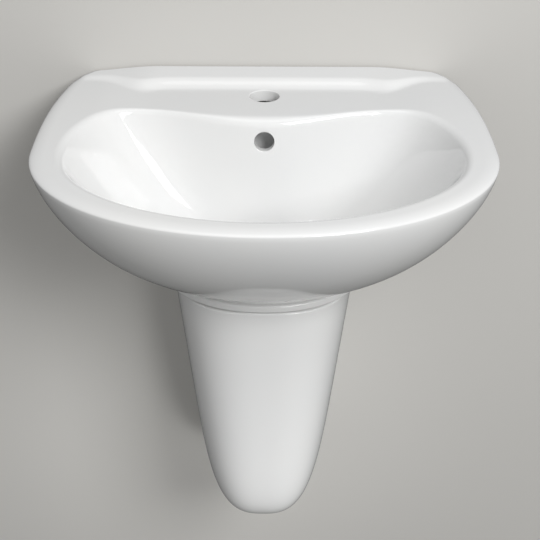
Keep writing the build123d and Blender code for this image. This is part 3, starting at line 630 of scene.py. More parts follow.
def bowl_rows(edge):
    """Bowl from the waste hole up to the lip, rounded over to the deck."""
    steep = np.arctan2(BOWL_POWER * (BOWL_DEPTH - LIP_RADIUS), edge - FLOOR_RADIUS)
    lip_drop = LIP_RADIUS * (1 - np.cos(steep))
    outer = edge + LIP_RADIUS * np.sin(steep)
    top = RIM_Z + deck_height(ACROSS * outer, WASTE_Y + BACKWARD * outer)
    rows = []
    for turn in np.linspace(0, pi / 2, EDGE_ROWS):
        hole = np.full(COLUMNS, WASTE_HOLE_RADIUS + WASTE_EDGE - WASTE_EDGE * cos(turn))
        rows.append((hole, FLOOR_Z - WASTE_EDGE + WASTE_EDGE * sin(turn)))
    for share in np.linspace(0, 1, BOWL_ROWS):
        rise = (top - lip_drop - FLOOR_Z) * share ** BOWL_POWER
        rows.append((FLOOR_RADIUS + (edge - FLOOR_RADIUS) * share, FLOOR_Z + rise))
    for turn in np.linspace(1, 0, LIP_ROWS)[1:]:
        lean = steep * turn
        radius = edge + LIP_RADIUS * (np.sin(steep) - np.sin(lean))
        rows.append((radius, top - LIP_RADIUS * (1 - np.cos(lean))))
    return rows


def deck_rows(inner):
    """Deck from the bowl's lip out to the start of the rolled rim, and the roll itself."""
    rows = []
    outer = reach(apron_outline(0.0, ROLL_INSET, -REAR_ROLL))
    near = np.linspace(0, LEDGE_SHARE, DECK_ROWS)[1:]
    far = np.linspace(LEDGE_SHARE, 1, LEDGE_ROWS)[1:]
    for share in np.concatenate([near, far]):
        radius = inner + (outer - inner) * share
        rows.append((radius, RIM_Z + deck_height(ACROSS * radius, WASTE_Y + BACKWARD * radius)))
    start = rows[-1][1]
    is_rear = eased((BACKWARD * outer + WASTE_Y - REAR_ROLL_START) / REAR_ROLL_BLEND)
    drop = RIM_ROLL + (REAR_ROLL - RIM_ROLL) * is_rear
    for turn in np.linspace(0, pi / 2, ROLL_ROWS)[1:]:
        inset = ROLL_INSET * (1 - sin(turn))
        radius = reach(apron_outline(0.0, inset, -REAR_ROLL * inset / ROLL_INSET))
        rows.append((radius, start - drop * (1 - cos(turn))))
    return rows


def shell_rows(edge):
    """Outside of the bowl under the deck, the boss round the waste and the hole through it."""
    rows = [(edge + CHINA, RIM_Z - DECK)]
    for share in np.linspace(1, 0, SHELL_ROWS):
        depth = LIP_RADIUS + (BOWL_DEPTH - LIP_RADIUS) * (1 - share ** BOWL_POWER) + CHINA
        rows.append((FLOOR_RADIUS + (edge - FLOOR_RADIUS) * share + CHINA, RIM_Z - depth))
    rows.append((np.full(COLUMNS, BOSS_RADIUS), FLOOR_Z - CHINA - BOSS_SHOULDER))
    rows.append((np.full(COLUMNS, BOSS_RADIUS), BOSS_Z))
    rows.append((np.full(COLUMNS, WASTE_HOLE_RADIUS), BOSS_Z))
    return rows


def straight_hole(name, radius, above, below, sides, origin, axis):
    """Cutter for a plain round hole, from above its origin to below it."""
    profile = [(0, above), (radius, above), (radius, -below), (0, -below)]
    return turned_piece(name, profile, sides, Vector(origin), axis)


def flared_hole(name, radius, flare, length, origin, axis):
    """Cutter for a round hole whose near edge is rounded over, with the surface at its origin."""
    mouth = radius + FLARE_SIDE * flare
    profile = [(0, CUT_SLIGHT), (mouth, CUT_SLIGHT), (mouth, FLARE_LIFT)]
    for turn in np.linspace(0, pi / 2, FLARE_ROWS):
        profile.append((radius + flare - flare * sin(turn), -flare + flare * cos(turn)))
    profile += [(radius, -length), (0, -length)]
    return turned_piece(name, profile, HOLE_SIDES, Vector(origin), axis)


def channel_outline(wall):
    """Overflow channel down the back of the bowl into the waste hole, in the YZ plane."""
    near = wall / 2
    return [
        (CHANNEL_FRONT - near, CHANNEL_TOP + near),
        (CHANNEL_REAR + wall, CHANNEL_TOP + near),
        (CHANNEL_REAR + wall, CHANNEL_KNEE),
        (WASTE_Y + BOSS_RADIUS + wall, CHANNEL_FOOT - wall),
        (WASTE_Y + WASTE_HOLE_RADIUS / 2, CHANNEL_FOOT - wall),
        (WASTE_Y + WASTE_HOLE_RADIUS / 2, CHANNEL_FOOT + CHANNEL_FOOT_HEIGHT + near),
        (WASTE_Y + WASTE_HOLE_RADIUS + CHANNEL_WALL, CHANNEL_FOOT + CHANNEL_FOOT_HEIGHT + near),
        (CHANNEL_FRONT - near, CHANNEL_KNEE),
    ]


def bowl_rear(bowl, height):
    """Place of the bowl's rear wall at a height, on the centre line."""
    heights = [np.broadcast_to(row_height, COLUMNS)[0] for radius, row_height in bowl]
    return WASTE_Y + np.interp(height, heights, [radius[0] for radius, row_height in bowl])


def make_basin():
    """One hollow casting: bowl, deck, apron, collar and channel, with all its holes."""
    edge = bowl_edge()
    bowl = bowl_rows(edge)
    deck = deck_rows(bowl[-1][0])
    apron = apron_rows()
    rows = bowl + deck + apron + collar_rows() + hollow_rows(apron) + shell_rows(edge)
    points = np.concatenate([place(radius, height) for radius, height in rows])
    basin = new_piece("basin_china", points, ring_faces(len(rows), COLUMNS, True))
    channel_wall = prism_piece(
        "channel_wall", channel_outline(CHANNEL_WALL), CHANNEL_HALF_WIDTH + CHANNEL_WALL,
    )
    combine(basin, [channel_wall], "UNION")
    cutters = [
        straight_hole(
            "waste_hole", WASTE_HOLE_RADIUS, CUT_PAST, FLOOR_Z - BOSS_Z + CUT_PAST, HOLE_SIDES,
            (0, WASTE_Y, FLOOR_Z), (0, 0, 1),
        ),
        prism_piece("channel", channel_outline(0.0), CHANNEL_HALF_WIDTH),
        flared_hole(
            "overflow", OVERFLOW_RADIUS, OVERFLOW_FLARE, OVERFLOW_REACH,
            (0, bowl_rear(bowl, OVERFLOW_Z), OVERFLOW_Z), (0, -1, OVERFLOW_LEAN),
        ),
        flared_hole(
            "tap_hole", TAP_HOLE_RADIUS, TAP_HOLE_FLARE, TAP_HOLE_REACH,
            (0, TAP_HOLE_Y, RIM_Z - PLATFORM_DROP), (0, 0, 1),
        ),
    ]
    for side in (-1, 1):
        cutters.append(straight_hole(
            "bolt_hole", BASIN_HOLE_RADIUS, CUT_PAST, BACK_WALL + CUT_PAST, BASIN_HOLE_SIDES,
            (side * BASIN_BOLT_X, 0, 0), (0, 1, 0),
        ))
    cutters.append(box_piece(
        "pipe_gap", (-PIPE_GAP_HALF_WIDTH, -BACK_WALL - CUT_SLIGHT, COLLAR_Z - CUT_PAST),
        (PIPE_GAP_HALF_WIDTH, BACK_WALL, UNDERSIDE_Z + 2 * CHINA),
    ))
    combine(basin, cutters, "DIFFERENCE")
    smooth_by_angle(basin, CHINA_SMOOTH)
    return basin


# Half pedestal

def pedestal_row(share, inset, height):
    """Row round the half pedestal from its right back edge to its left back edge."""
    side_close = np.sqrt(1 - share ** PEDESTAL_SIDE_POWER)
    front_close = np.sqrt(1 - share ** PEDESTAL_FRONT_POWER)
    half_width = (PEDESTAL_HALF_WIDTH * (1 - PEDESTAL_SIDE_TAPER * share) - inset) * side_close
    front = (PEDESTAL_FRONT * (1 - PEDESTAL_FRONT_TAPER * share) - inset) * front_close
    widest = PEDESTAL_WIDEST * front_close
    turns = np.linspace(0, pi, PEDESTAL_FRONT_COLUMNS)
    across = np.cos(turns)
    round_x = half_width * np.sign(across) * np.abs(across) ** (2 / PEDESTAL_PLAN_POWER)
    round_y = -widest - (front - widest) * np.abs(np.sin(turns)) ** (2 / PEDESTAL_PLAN_POWER)
    straight = -widest * np.arange(PEDESTAL_SIDE_COLUMNS) / PEDESTAL_SIDE_COLUMNS
    row = np.empty((PEDESTAL_COLUMNS, 3))
    flank = np.full_like(straight, half_width)
    row[:, 0] = np.concatenate([flank, round_x, -flank])
    row[:, 1] = np.concatenate([straight, round_y, straight[::-1]])
    row[:, 2] = height
    return row


def make_pedestal():
    """Open-backed shell, closed at its foot, with a seat under the collar and two lugs inside."""
    shares = [sin(step * pi / 2) for step in np.linspace(0, 1, PEDESTAL_ROWS)][:-1]
    edge_share = PEDESTAL_EDGE / PEDESTAL_HEIGHT
    outside = [share for share in reversed(shares) if share > EDGE_ROOM * edge_share] + [edge_share]
    rows = [pedestal_row(share, 0.0, PEDESTAL_TOP - PEDESTAL_HEIGHT * share) for share in outside]
    for turn in np.linspace(0, pi / 2, PEDESTAL_EDGE_ROWS)[1:]:
        inset = PEDESTAL_EDGE * (1 - cos(turn))
        rows.append(pedestal_row(0.0, inset, PEDESTAL_TOP - PEDESTAL_EDGE * (1 - sin(turn))))
    seat_top = COLLAR_Z - SEAT_CLEARANCE
    seat_end = SEAT_INSET + SEAT_WIDTH
    rows += [pedestal_row(0.0, SEAT_INSET, height) for height in (PEDESTAL_TOP, seat_top)]
    rows += [pedestal_row(0.0, seat_end, height) for height in (seat_top, PEDESTAL_TOP)]
    inner_height = PEDESTAL_HEIGHT - PEDESTAL_WALL
    rows += [pedestal_row(share, PEDESTAL_WALL, PEDESTAL_TOP - inner_height * share) for share in shares]
    points = np.concatenate(rows + [
        [(0, 0, PEDESTAL_TOP - PEDESTAL_HEIGHT)], [(0, 0, PEDESTAL_TOP - inner_height)],
    ])
    count = len(rows)
    last = (count - 1) * PEDESTAL_COLUMNS
    outer_tip = count * PEDESTAL_COLUMNS
    inner_tip = outer_tip + 1
    faces = []
    # The shell's two sides, then the foot down to its tips on the wall, then the edges along the wall
    for row in range(count - 1):
        for column in range(PEDESTAL_COLUMNS - 1):
            corner = row * PEDESTAL_COLUMNS + column
            above = corner + PEDESTAL_COLUMNS
            faces.append((corner, corner + 1, above + 1, above))
    for column in range(PEDESTAL_COLUMNS - 1):
        faces.append((column + 1, column, outer_tip))
        faces.append((last + column, last + column + 1, inner_tip))
    for column in (0, PEDESTAL_COLUMNS - 1):
        faces.append([row * PEDESTAL_COLUMNS + column for row in range(count)] + [inner_tip, outer_tip])
    pedestal = new_piece("pedestal_china", points, faces)
    lugs = []
    holes = []
    for side in (-1, 1):
        near = min(side * LUG_INNER_X, side * LUG_OUTER_X)
        far = max(side * LUG_INNER_X, side * LUG_OUTER_X)
        low = PEDESTAL_BOLT_Z - LUG_HALF_HEIGHT
        lugs.append(box_piece("lug", (near, -LUG_THICKNESS, low), (far, 0.0, low + 2 * LUG_HALF_HEIGHT)))
        holes.append(straight_hole(
            "lug_hole", PEDESTAL_HOLE_RADIUS, CUT_PAST, LUG_THICKNESS + CUT_PAST, PEDESTAL_HOLE_SIDES,
            (side * PEDESTAL_BOLT_X, 0, PEDESTAL_BOLT_Z), (0, 1, 0),
        ))
    combine(pedestal, lugs, "UNION")
    combine(pedestal, holes, "DIFFERENCE")
    smooth_by_angle(pedestal, CHINA_SMOOTH)
    return pedestal


# Screw threads on the bolts and the waste, and the plug's spring, all wound by one node tree

WINDING_INPUTS = {
    "Float": ("Radius", "Ridge", "Turns", "Length"),
    "Int": ("Sides", "Count"),
    "Vector": ("Lean", "First", "Step"),
    "Material": ("Material",),
}


def winding_tree():
    """Node tree that winds a round ridge about an axis and sets it on each of a row of points."""
    tree = bpy.data.node_groups.new("screw_thread", "GeometryNodeTree")
    for kind, titles in WINDING_INPUTS.items():
        for title in titles:
            tree.interface.new_socket(name=title, in_out="INPUT", socket_type="NodeSocket" + kind)
    tree.interface.new_socket(name="Geometry", in_out="OUTPUT", socket_type="NodeSocketGeometry")
    start = tree.nodes.new("NodeGroupInput")
    end = tree.nodes.new("NodeGroupOutput")
    helix = tree.nodes.new("GeometryNodeCurveSpiral")
    helix.inputs["Resolution"].default_value = WINDING_STEPS
    ridge = tree.nodes.new("GeometryNodeCurvePrimitiveCircle")
    sweep = tree.nodes.new("GeometryNodeCurveToMesh")
    sweep.inputs["Fill Caps"].default_value = True
    lean = tree.nodes.new("GeometryNodeTransform")
    row = tree.nodes.new("GeometryNodeMeshLine")
    spread = tree.nodes.new("GeometryNodeInstanceOnPoints")
    real = tree.nodes.new("GeometryNodeRealizeInstances")
    paint = tree.nodes.new("GeometryNodeSetMaterial")
    link = tree.links.new
    link(start.outputs["Radius"], helix.inputs["Start Radius"])
    link(start.outputs["Radius"], helix.inputs["End Radius"])
    link(start.outputs["Turns"], helix.inputs["Rotations"])
    link(start.outputs["Length"], helix.inputs["Height"])
    link(start.outputs["Ridge"], ridge.inputs["Radius"])
    link(start.outputs["Sides"], ridge.inputs["Resolution"])
    link(helix.outputs["Curve"], sweep.inputs["Curve"])
    link(ridge.outputs["Curve"], sweep.inputs["Profile Curve"])
    link(sweep.outputs["Mesh"], lean.inputs["Geometry"])
    link(start.outputs["Lean"], lean.inputs["Rotation"])
    link(start.outputs["First"], row.inputs["Start Location"])
    link(start.outputs["Step"], row.inputs["Offset"])
    link(start.outputs["Count"], row.inputs["Count"])
    link(row.outputs["Mesh"], spread.inputs["Points"])
    link(lean.outputs["Geometry"], spread.inputs["Instance"])
    link(spread.outputs["Instances"], real.inputs["Geometry"])
    link(real.outputs["Geometry"], paint.inputs["Geometry"])
    link(start.outputs["Material"], paint.inputs["Material"])
    link(paint.outputs["Geometry"], end.inputs["Geometry"])
    return tree


def make_winding(tree, name, values):
    """Thread or spring as a plain mesh, from the tree and its named inputs."""
    mesh = bpy.data.meshes.new(name)
    piece = bpy.data.objects.new(name, mesh)
    bpy.context.scene.collection.objects.link(piece)
    winding = piece.modifiers.new("winding", "NODES")
    winding.node_group = tree
    sockets = {item.name: item.identifier for item in tree.interface.items_tree if item.in_out == "INPUT"}
    for title, value in values.items():
        winding[sockets[title]] = value
    apply_modifiers(piece)
    piece.data.shade_smooth()
    return piece


def make_bolt_threads(tree, name, radius, ridge, turns, length, bolt_x, bolt_end, bolt_z, steel):
    """Threads on the ends of a pair of bolts, which point away from the wall."""
    return make_winding(tree, name, {
        "Radius": radius * MM, "Ridge": ridge * MM, "Sides": THREAD_SIDES, "Turns": turns,
        "Length": length * MM, "Lean": (radians(-90), 0.0, 0.0),
        "First": (-bolt_x * MM, bolt_end * MM, bolt_z * MM), "Step": (2 * bolt_x * MM, 0.0, 0.0),
        "Count": 2, "Material": steel,
    })


def make_waste_winding(tree, name, radius, ridge, sides, turns, length, low, metal):
    """One winding that stands upright on the waste's axis."""
    return make_winding(tree, name, {
        "Radius": radius * MM, "Ridge": ridge * MM, "Sides": sides, "Turns": turns,
        "Length": length * MM, "Lean": (0.0, 0.0, 0.0),
        "First": (0.0, WASTE_Y * MM, low * MM), "Step": (0.0, 0.0, 0.0),
        "Count": 1, "Material": metal,
    })


# Wall plugs with barbs and a slit

def make_wall_plugs(name, plug_x, z, radius, bore, length):
    """Pair of barbed plugs in the wall, joined in one mesh."""
    profile = [(0.0, 0.0), (radius, 0.0), (radius, PLUG_COLLAR), (radius - PLUG_BARB, PLUG_COLLAR)]
    barbs = int((length - PLUG_COLLAR - PLUG_TIP) / PLUG_PITCH)
    for barb in range(barbs):
        low = PLUG_COLLAR + barb * PLUG_PITCH
        profile += [(radius, low + PLUG_BARB_RISE * PLUG_PITCH), (radius - PLUG_BARB, low + PLUG_PITCH)]
    profile += [(radius - 2 * PLUG_BARB, length), (0.0, length)]
    pair = []
    for side in (-1, 1):
        mouth = Vector((side * plug_x, 0, z))
        plug = turned_piece(name, profile, PLUG_SIDES, mouth, (0, 1, 0))
        bore_end = length - PLUG_TIP
        slit_half_width = radius + CUT_SLIGHT
        slit_low = (mouth.x - slit_half_width, length * PLUG_SLIT_START, z - PLUG_SLIT / 2)
        slit_high = (mouth.x + slit_half_width, length + CUT_SLIGHT, z + PLUG_SLIT / 2)
        cutters = [
            straight_hole("bore", bore, bore_end, CUT_SLIGHT, PLUG_BORE_SIDES, mouth, (0, 1, 0)),
            box_piece("slit", slit_low, slit_high),
        ]
        combine(plug, cutters, "DIFFERENCE")
        pair.append(plug)
    work = bmesh.new()
    for plug in pair:
        work.from_mesh(plug.data)
    work.to_mesh(pair[0].data)
    work.free()
    bpy.data.objects.remove(pair[1])
    smooth_by_angle(pair[0], PLUG_SMOOTH)
    return pair[0]


# Materials

SOCKETS = {"Vector": "NodeSocketVector", "First": "NodeSocketColor", "Second": "NodeSocketColor"}


def shader_group(name, inputs, output, output_type):
    """Empty node group with named inputs and one output."""
    group = bpy.data.node_groups.new(name, "ShaderNodeTree")
    for title in inputs:
        group.interface.new_socket(
            name=title, in_out="INPUT", socket_type=SOCKETS.get(title, "NodeSocketFloat"),
        )
    group.interface.new_socket(name=output, in_out="OUTPUT", socket_type=output_type)
    start = group.nodes.new("NodeGroupInput")
    end = group.nodes.new("NodeGroupOutput")
    return group, start, end


def uneven_group():
    """Value that wanders between Low and High over the surface."""
    group, start, end = shader_group(
        "uneven", ["Vector", "Scale", "Low", "High"], "Value", "NodeSocketFloat",
    )
    noise = group.nodes.new("ShaderNodeTexNoise")
    noise.inputs["Detail"].default_value = NOISE_DETAIL
    spread = group.nodes.new("ShaderNodeMapRange")
    spread.inputs["From Min"].default_value = NOISE_LOW
    spread.inputs["From Max"].default_value = NOISE_HIGH
    link = group.links.new
    link(start.outputs["Vector"], noise.inputs["Vector"])
    link(start.outputs["Scale"], noise.inputs["Scale"])
    link(noise.outputs["Fac"], spread.inputs["Value"])
    link(start.outputs["Low"], spread.inputs["To Min"])
    link(start.outputs["High"], spread.inputs["To Max"])
    link(spread.outputs["Result"], end.inputs["Value"])
    return group


def mottled_group(uneven):
    """Colour that wanders between two tones over the surface."""
    group, start, end = shader_group(
        "mottled", ["Vector", "Scale", "First", "Second"], "Color", "NodeSocketColor",
    )
    share = group.nodes.new("ShaderNodeGroup")
    share.node_tree = uneven
    share.inputs["Low"].default_value = 0.0
    share.inputs["High"].default_value = 1.0
    mix = group.nodes.new("ShaderNodeMix")
    mix.data_type = "RGBA"
    link = group.links.new
    link(start.outputs["Vector"], share.inputs["Vector"])
    link(start.outputs["Scale"], share.inputs["Scale"])
    link(share.outputs["Value"], mix.inputs["Factor"])
    link(start.outputs["First"], mix.inputs["A"])
    link(start.outputs["Second"], mix.inputs["B"])
    link(mix.outputs["Result"], end.inputs["Color"])
    return group


def bare_back_group():
    """Mask of the unglazed back that stands against the wall."""
    group, start, end = shader_group("bare_back", ["Vector"], "Mask", "NodeSocketFloat")
    parts = group.nodes.new("ShaderNodeSeparateXYZ")
    near_wall = group.nodes.new("ShaderNodeMapRange")
    near_wall.inputs["From Min"].default_value = CLAY_START_Y * MM
    near_wall.inputs["From Max"].default_value = CLAY_FULL_Y * MM
    link = group.links.new
    link(start.outputs["Vector"], parts.inputs["Vector"])
    link(parts.outputs["Y"], near_wall.inputs["Value"])
    link(near_wall.outputs["Result"], end.inputs["Mask"])
    return group


UNEVEN = uneven_group()
MOTTLED = mottled_group(UNEVEN)
BARE_BACK = bare_back_group()


def add_group(tree, group, where, **values):
    """Group node fed with the piece's own coordinates and plain values."""
    node = tree.nodes.new("ShaderNodeGroup")
    node.node_tree = group
    tree.links.new(where, node.inputs["Vector"])
    for title, value in values.items():
        node.inputs[title].default_value = value
    return node


def new_material(name):
    """Material with its tree and its main shader."""
    material = bpy.data.materials.new(name)
    material.use_nodes = True
    tree = material.node_tree
    return material, tree, tree.nodes["Principled BSDF"]


def own_place(tree):
    """The piece's own coordinates, on which its patterns lie."""
    return tree.nodes.new("ShaderNodeTexCoord").outputs["Object"]


def surface(name, first, second, patch, rough, grain, depth, metallic=0.0):
    """Finish with two mottled tones, wandering gloss and a grain; patch and grain count per metre."""
    material, tree, shader = new_material(name)
    where = own_place(tree)
    colour = add_group(tree, MOTTLED, where, Scale=patch, First=(*first, 1), Second=(*second, 1))
    gloss = add_group(tree, UNEVEN, where, Scale=ROUGH_PER_PATCH * patch, Low=rough[0], High=rough[1])
    relief = add_group(tree, UNEVEN, where, Scale=grain, Low=0.0, High=1.0)
    bump = tree.nodes.new("ShaderNodeBump")
    bump.inputs["Strength"].default_value = GRAIN_STRENGTH
    bump.inputs["Distance"].default_value = depth * MM
    shader.inputs["Metallic"].default_value = metallic
    tree.links.new(colour.outputs["Color"], shader.inputs["Base Color"])
    tree.links.new(gloss.outputs["Value"], shader.inputs["Roughness"])
    tree.links.new(relief.outputs["Value"], bump.inputs["Height"])
    tree.links.new(bump.outputs["Normal"], shader.inputs["Normal"])
    return material


def china_material():
    """White glaze, left off at the back, where the fired clay shows."""
    material, tree, shader = new_material("china_glaze")
    where = own_place(tree)
    first, second = GLAZE_TONES
    glaze = add_group(tree, MOTTLED, where, Scale=GLAZE_PATCH, First=(*first, 1), Second=(*second, 1))
    first, second = CLAY_TONES
    clay = add_group(tree, MOTTLED, where, Scale=CLAY_PATCH, First=(*first, 1), Second=(*second, 1))
    bare = add_group(tree, BARE_BACK, where)
    smooth, dull = GLAZE_ROUGH
    gloss = add_group(tree, UNEVEN, where, Scale=GLAZE_ROUGH_PATCH, Low=smooth, High=dull)
    ripple = add_group(tree, UNEVEN, where, Scale=RIPPLE_PATCH, Low=0.0, High=1.0)
    colour = tree.nodes.new("ShaderNodeMix")
    colour.data_type = "RGBA"
    rough = tree.nodes.new("ShaderNodeMix")
    rough.inputs["B"].default_value = CLAY_ROUGH
    bump = tree.nodes.new("ShaderNodeBump")
    bump.inputs["Strength"].default_value = RIPPLE_STRENGTH
    bump.inputs["Distance"].default_value = RIPPLE_DEPTH * MM
    shader.inputs["IOR"].default_value = GLAZE_IOR
    link = tree.links.new
    link(bare.outputs["Mask"], colour.inputs["Factor"])
    link(glaze.outputs["Color"], colour.inputs["A"])
    link(clay.outputs["Color"], colour.inputs["B"])
    link(colour.outputs["Result"], shader.inputs["Base Color"])
    link(bare.outputs["Mask"], rough.inputs["Factor"])
    link(gloss.outputs["Value"], rough.inputs["A"])
    link(rough.outputs["Result"], shader.inputs["Roughness"])
    link(ripple.outputs["Value"], bump.inputs["Height"])
    link(bump.outputs["Normal"], shader.inputs["Normal"])
    return material


def make_finishes():
    """One finish for each material slot of the part."""
    return {
        "china": china_material(),
        "chrome": surface(
            "chrome", (0.80, 0.81, 0.83), (0.74, 0.75, 0.78),
            patch=40, rough=(0.05, 0.13), grain=300, depth=0.01, metallic=1.0,
        ),
        "brass": surface(
            "brass", (0.76, 0.56, 0.28), (0.58, 0.40, 0.19),
            patch=70, rough=(0.22, 0.40), grain=600, depth=0.03, metallic=1.0,
        ),
        "spring_steel": surface(
            "spring_steel", (0.56, 0.56, 0.57), (0.42, 0.42, 0.44),
            patch=120, rough=(0.24, 0.38), grain=900, depth=0.02, metallic=1.0,
        ),
        "rubber": surface(
            "rubber", (0.028, 0.028, 0.030), (0.050, 0.049, 0.048),
            patch=90, rough=(0.55, 0.78), grain=900, depth=0.06,
        ),
        "white_plastic": surface(
            "white_plastic", (0.80, 0.80, 0.785), (0.75, 0.75, 0.73),
            patch=25, rough=(0.28, 0.42), grain=700, depth=0.03,
        ),
        "grey_plastic": surface(
            "grey_plastic", (0.33, 0.34, 0.35), (0.27, 0.28, 0.29),
            patch=60, rough=(0.38, 0.52), grain=700, depth=0.05,
        ),
        "bush_plastic": surface(
            "bush_plastic", (0.82, 0.80, 0.72), (0.74, 0.72, 0.64),
            patch=80, rough=(0.32, 0.46), grain=700, depth=0.04,
        ),
        "zinc_steel": surface(
            "zinc_steel", (0.66, 0.68, 0.70), (0.52, 0.53, 0.52),
            patch=90, rough=(0.26, 0.44), grain=800, depth=0.03, metallic=1.0,
        ),
    }


# Studio

def stage_material(name):
    """Matt sheet that is clear from behind; bounced light and mirror images get a deeper tone of it."""
    material, tree, shader = new_material(name)
    path = tree.nodes.new("ShaderNodeLightPath")
    tone = tree.nodes.new("ShaderNodeMix")
    tone.data_type = "RGBA"
    tone.inputs["A"].default_value = (*STAGE_BOUNCED, 1)
    tone.inputs["B"].default_value = (*STAGE_SEEN, 1)
    shader.inputs["Roughness"].default_value = STAGE_ROUGH
    side = tree.nodes.new("ShaderNodeNewGeometry")
    clear = tree.nodes.new("ShaderNodeBsdfTransparent")
    mix = tree.nodes.new("ShaderNodeMixShader")
    link = tree.links.new
    link(path.outputs["Is Camera Ray"], tone.inputs["Factor"])
    link(tone.outputs["Result"], shader.inputs["Base Color"])
    link(side.outputs["Backfacing"], mix.inputs[0])
    link(shader.outputs[0], mix.inputs[1])
    link(clear.outputs[0], mix.inputs[2])
    link(mix.outputs[0], tree.nodes["Material Output"].inputs["Surface"])
    return material


def flat_sheet(name, corners, material):
    """Sheet of the studio, which is no piece of the part."""
    mesh = bpy.data.meshes.new(name)
    mesh.from_pydata(corners, [], [(0, 1, 2, 3)])
    mesh.materials.append(material)
    sheet = bpy.data.objects.new(name, mesh)
    bpy.context.scene.collection.objects.link(sheet)
    return sheet


def make_stage():
    """Wall and floor; the wall casts no shadow and bounces no light, so the part's back is lit too."""
    wall = flat_sheet("wall", [
        (-STAGE_HALF, WALL_Y, FLOOR_LEVEL), (STAGE_HALF, WALL_Y, FLOOR_LEVEL),
        (STAGE_HALF, WALL_Y, WALL_TOP), (-STAGE_HALF, WALL_Y, WALL_TOP),
    ], stage_material("studio_wall"))
    wall.visible_diffuse = False
    wall.visible_shadow = False
    flat_sheet("floor", [
        (-STAGE_HALF, -STAGE_HALF, FLOOR_LEVEL), (STAGE_HALF, -STAGE_HALF, FLOOR_LEVEL),
        (STAGE_HALF, STAGE_HALF, FLOOR_LEVEL), (-STAGE_HALF, STAGE_HALF, FLOOR_LEVEL),
    ], stage_material("studio_floor"))


def soft_light(name, place_at, aim_at, width, height, power):
    """Rectangular lamp that is turned to a point."""
    light = bpy.data.lights.new(name, "AREA")
    light.shape = "RECTANGLE"
    light.size = width
    light.size_y = height
    light.energy = power
    lamp = bpy.data.objects.new(name, light)
    lamp.location = place_at
    lamp.rotation_euler = (Vector(aim_at) - Vector(place_at)).to_track_quat("-Z", "Y").to_euler()
    bpy.context.scene.collection.objects.link(lamp)
    return lamp


def make_lights():
    """Key from the right, a dim overhead, a narrow low one on the half pedestal, and a white sky."""
    soft_light("key", KEY_AT, KEY_AIM, KEY_SIZE, KEY_SIZE, KEY_POWER)
    soft_light("overhead", OVERHEAD_AT, OVERHEAD_AIM, OVERHEAD_WIDTH, OVERHEAD_HEIGHT, OVERHEAD_POWER)
    low = soft_light("low", LOW_AT, LOW_AIM, LOW_SIZE, LOW_SIZE, LOW_POWER)
    low.data.spread = LOW_SPREAD
    world = bpy.data.worlds.new("studio")
    bpy.context.scene.world = world
    world.use_nodes = True
    sky = world.node_tree.nodes["Background"]
    sky.inputs["Color"].default_value = (1, 1, 1, 1)
    sky.inputs["Strength"].default_value = SKY_STRENGTH


def make_camera():
    """Camera that frames the part as the photograph does."""
    view = bpy.data.cameras.new("photo_view")
    view.sensor_width = SENSOR
    view.lens = SENSOR * FOCAL_PIXELS / PHOTO_WIDTH
    view.shift_x = (PHOTO_WIDTH / 2 - AXIS_COLUMN) / PHOTO_WIDTH
    camera = bpy.data.objects.new("photo_view", view)
    camera.location = CAMERA_AT
    camera.rotation_mode = "ZYX"
    camera.rotation_euler = (pi / 2 - CAMERA_TILT, 0.0, CAMERA_PAN)
    bpy.context.scene.collection.objects.link(camera)
    bpy.context.scene.camera = camera


# Build

# Every node of the part gets the finish of its slot
finishes = make_finishes()
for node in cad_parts.values():
    for index, slot in enumerate(node.data.materials):
        node.data.materials[index] = finishes[slot.name.split(".")[0]]


def finish_piece(piece, body, slot, *replaced):
    """Gives a finished piece its material, its body and the nodes it stands for."""
    piece.data.materials.clear()
    piece.data.materials.append(finishes[slot])
    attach(piece, body)
    if replaced:
        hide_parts(*replaced)


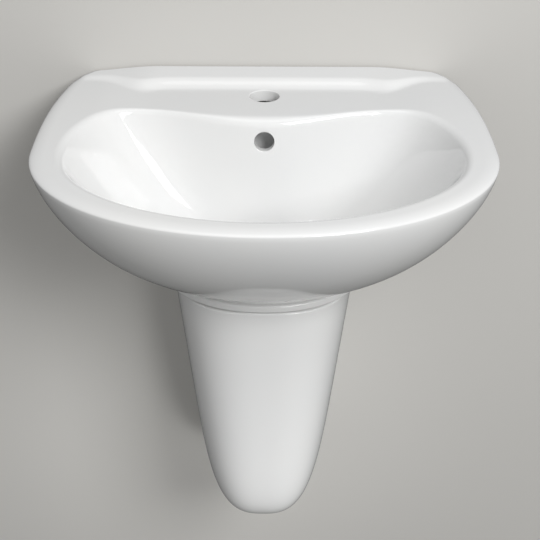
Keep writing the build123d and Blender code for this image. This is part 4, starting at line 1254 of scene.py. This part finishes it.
finish_piece(make_basin(), "sink", "china", "basin")
finish_piece(make_pedestal(), "sink", "china", "semi_pedestal")
basin_plugs = make_wall_plugs(
    "basin_barbed_plugs", BASIN_BOLT_X, 0.0, BASIN_PLUG_RADIUS, BASIN_BOLT_RADIUS, BASIN_PLUG_LENGTH,
)
finish_piece(basin_plugs, "sink", "grey_plastic", "basin_wall_plugs")
pedestal_plugs = make_wall_plugs(
    "pedestal_barbed_plugs", PEDESTAL_BOLT_X, PEDESTAL_BOLT_Z, PEDESTAL_PLUG_RADIUS, PEDESTAL_BOLT_RADIUS,
    PEDESTAL_PLUG_LENGTH,
)
finish_piece(pedestal_plugs, "sink", "grey_plastic", "pedestal_wall_plugs")
winding = winding_tree()
basin_threads = make_bolt_threads(
    winding, "basin_bolt_threads", BASIN_BOLT_RADIUS, BASIN_THREAD_RIDGE, BASIN_THREAD_TURNS,
    BASIN_THREAD_LENGTH, BASIN_BOLT_X, BASIN_BOLT_END, 0.0, finishes["zinc_steel"],
)
finish_piece(basin_threads, "sink", "zinc_steel")
pedestal_threads = make_bolt_threads(
    winding, "pedestal_bolt_threads", PEDESTAL_BOLT_RADIUS, PEDESTAL_THREAD_RIDGE, PEDESTAL_THREAD_TURNS,
    PEDESTAL_THREAD_LENGTH, PEDESTAL_BOLT_X, PEDESTAL_BOLT_END, PEDESTAL_BOLT_Z, finishes["zinc_steel"],
)
finish_piece(pedestal_threads, "sink", "zinc_steel")
waste_thread = make_waste_winding(
    winding, "waste_thread", WASTE_RADIUS, WASTE_THREAD_RIDGE, THREAD_SIDES, WASTE_THREAD_TURNS,
    WASTE_THREAD_LENGTH, WASTE_THREAD_Z, finishes["chrome"],
)
finish_piece(waste_thread, "sink", "chrome")
spring_low, spring_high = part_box("plug_spring")
spring_height = spring_high.z - spring_low.z
spring = make_waste_winding(
    winding, "plug_coil", SPRING_COIL, SPRING_WIRE, SPRING_SIDES, SPRING_TURNS,
    spring_height / MM - 2 * SPRING_WIRE, spring_low.z / MM + SPRING_WIRE, finishes["spring_steel"],
)
finish_piece(spring, "sink", "spring_steel", "plug_spring")
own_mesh(spring)
make_stage()
make_lights()
make_camera()
bpy.context.scene.view_settings.view_transform = "Standard"
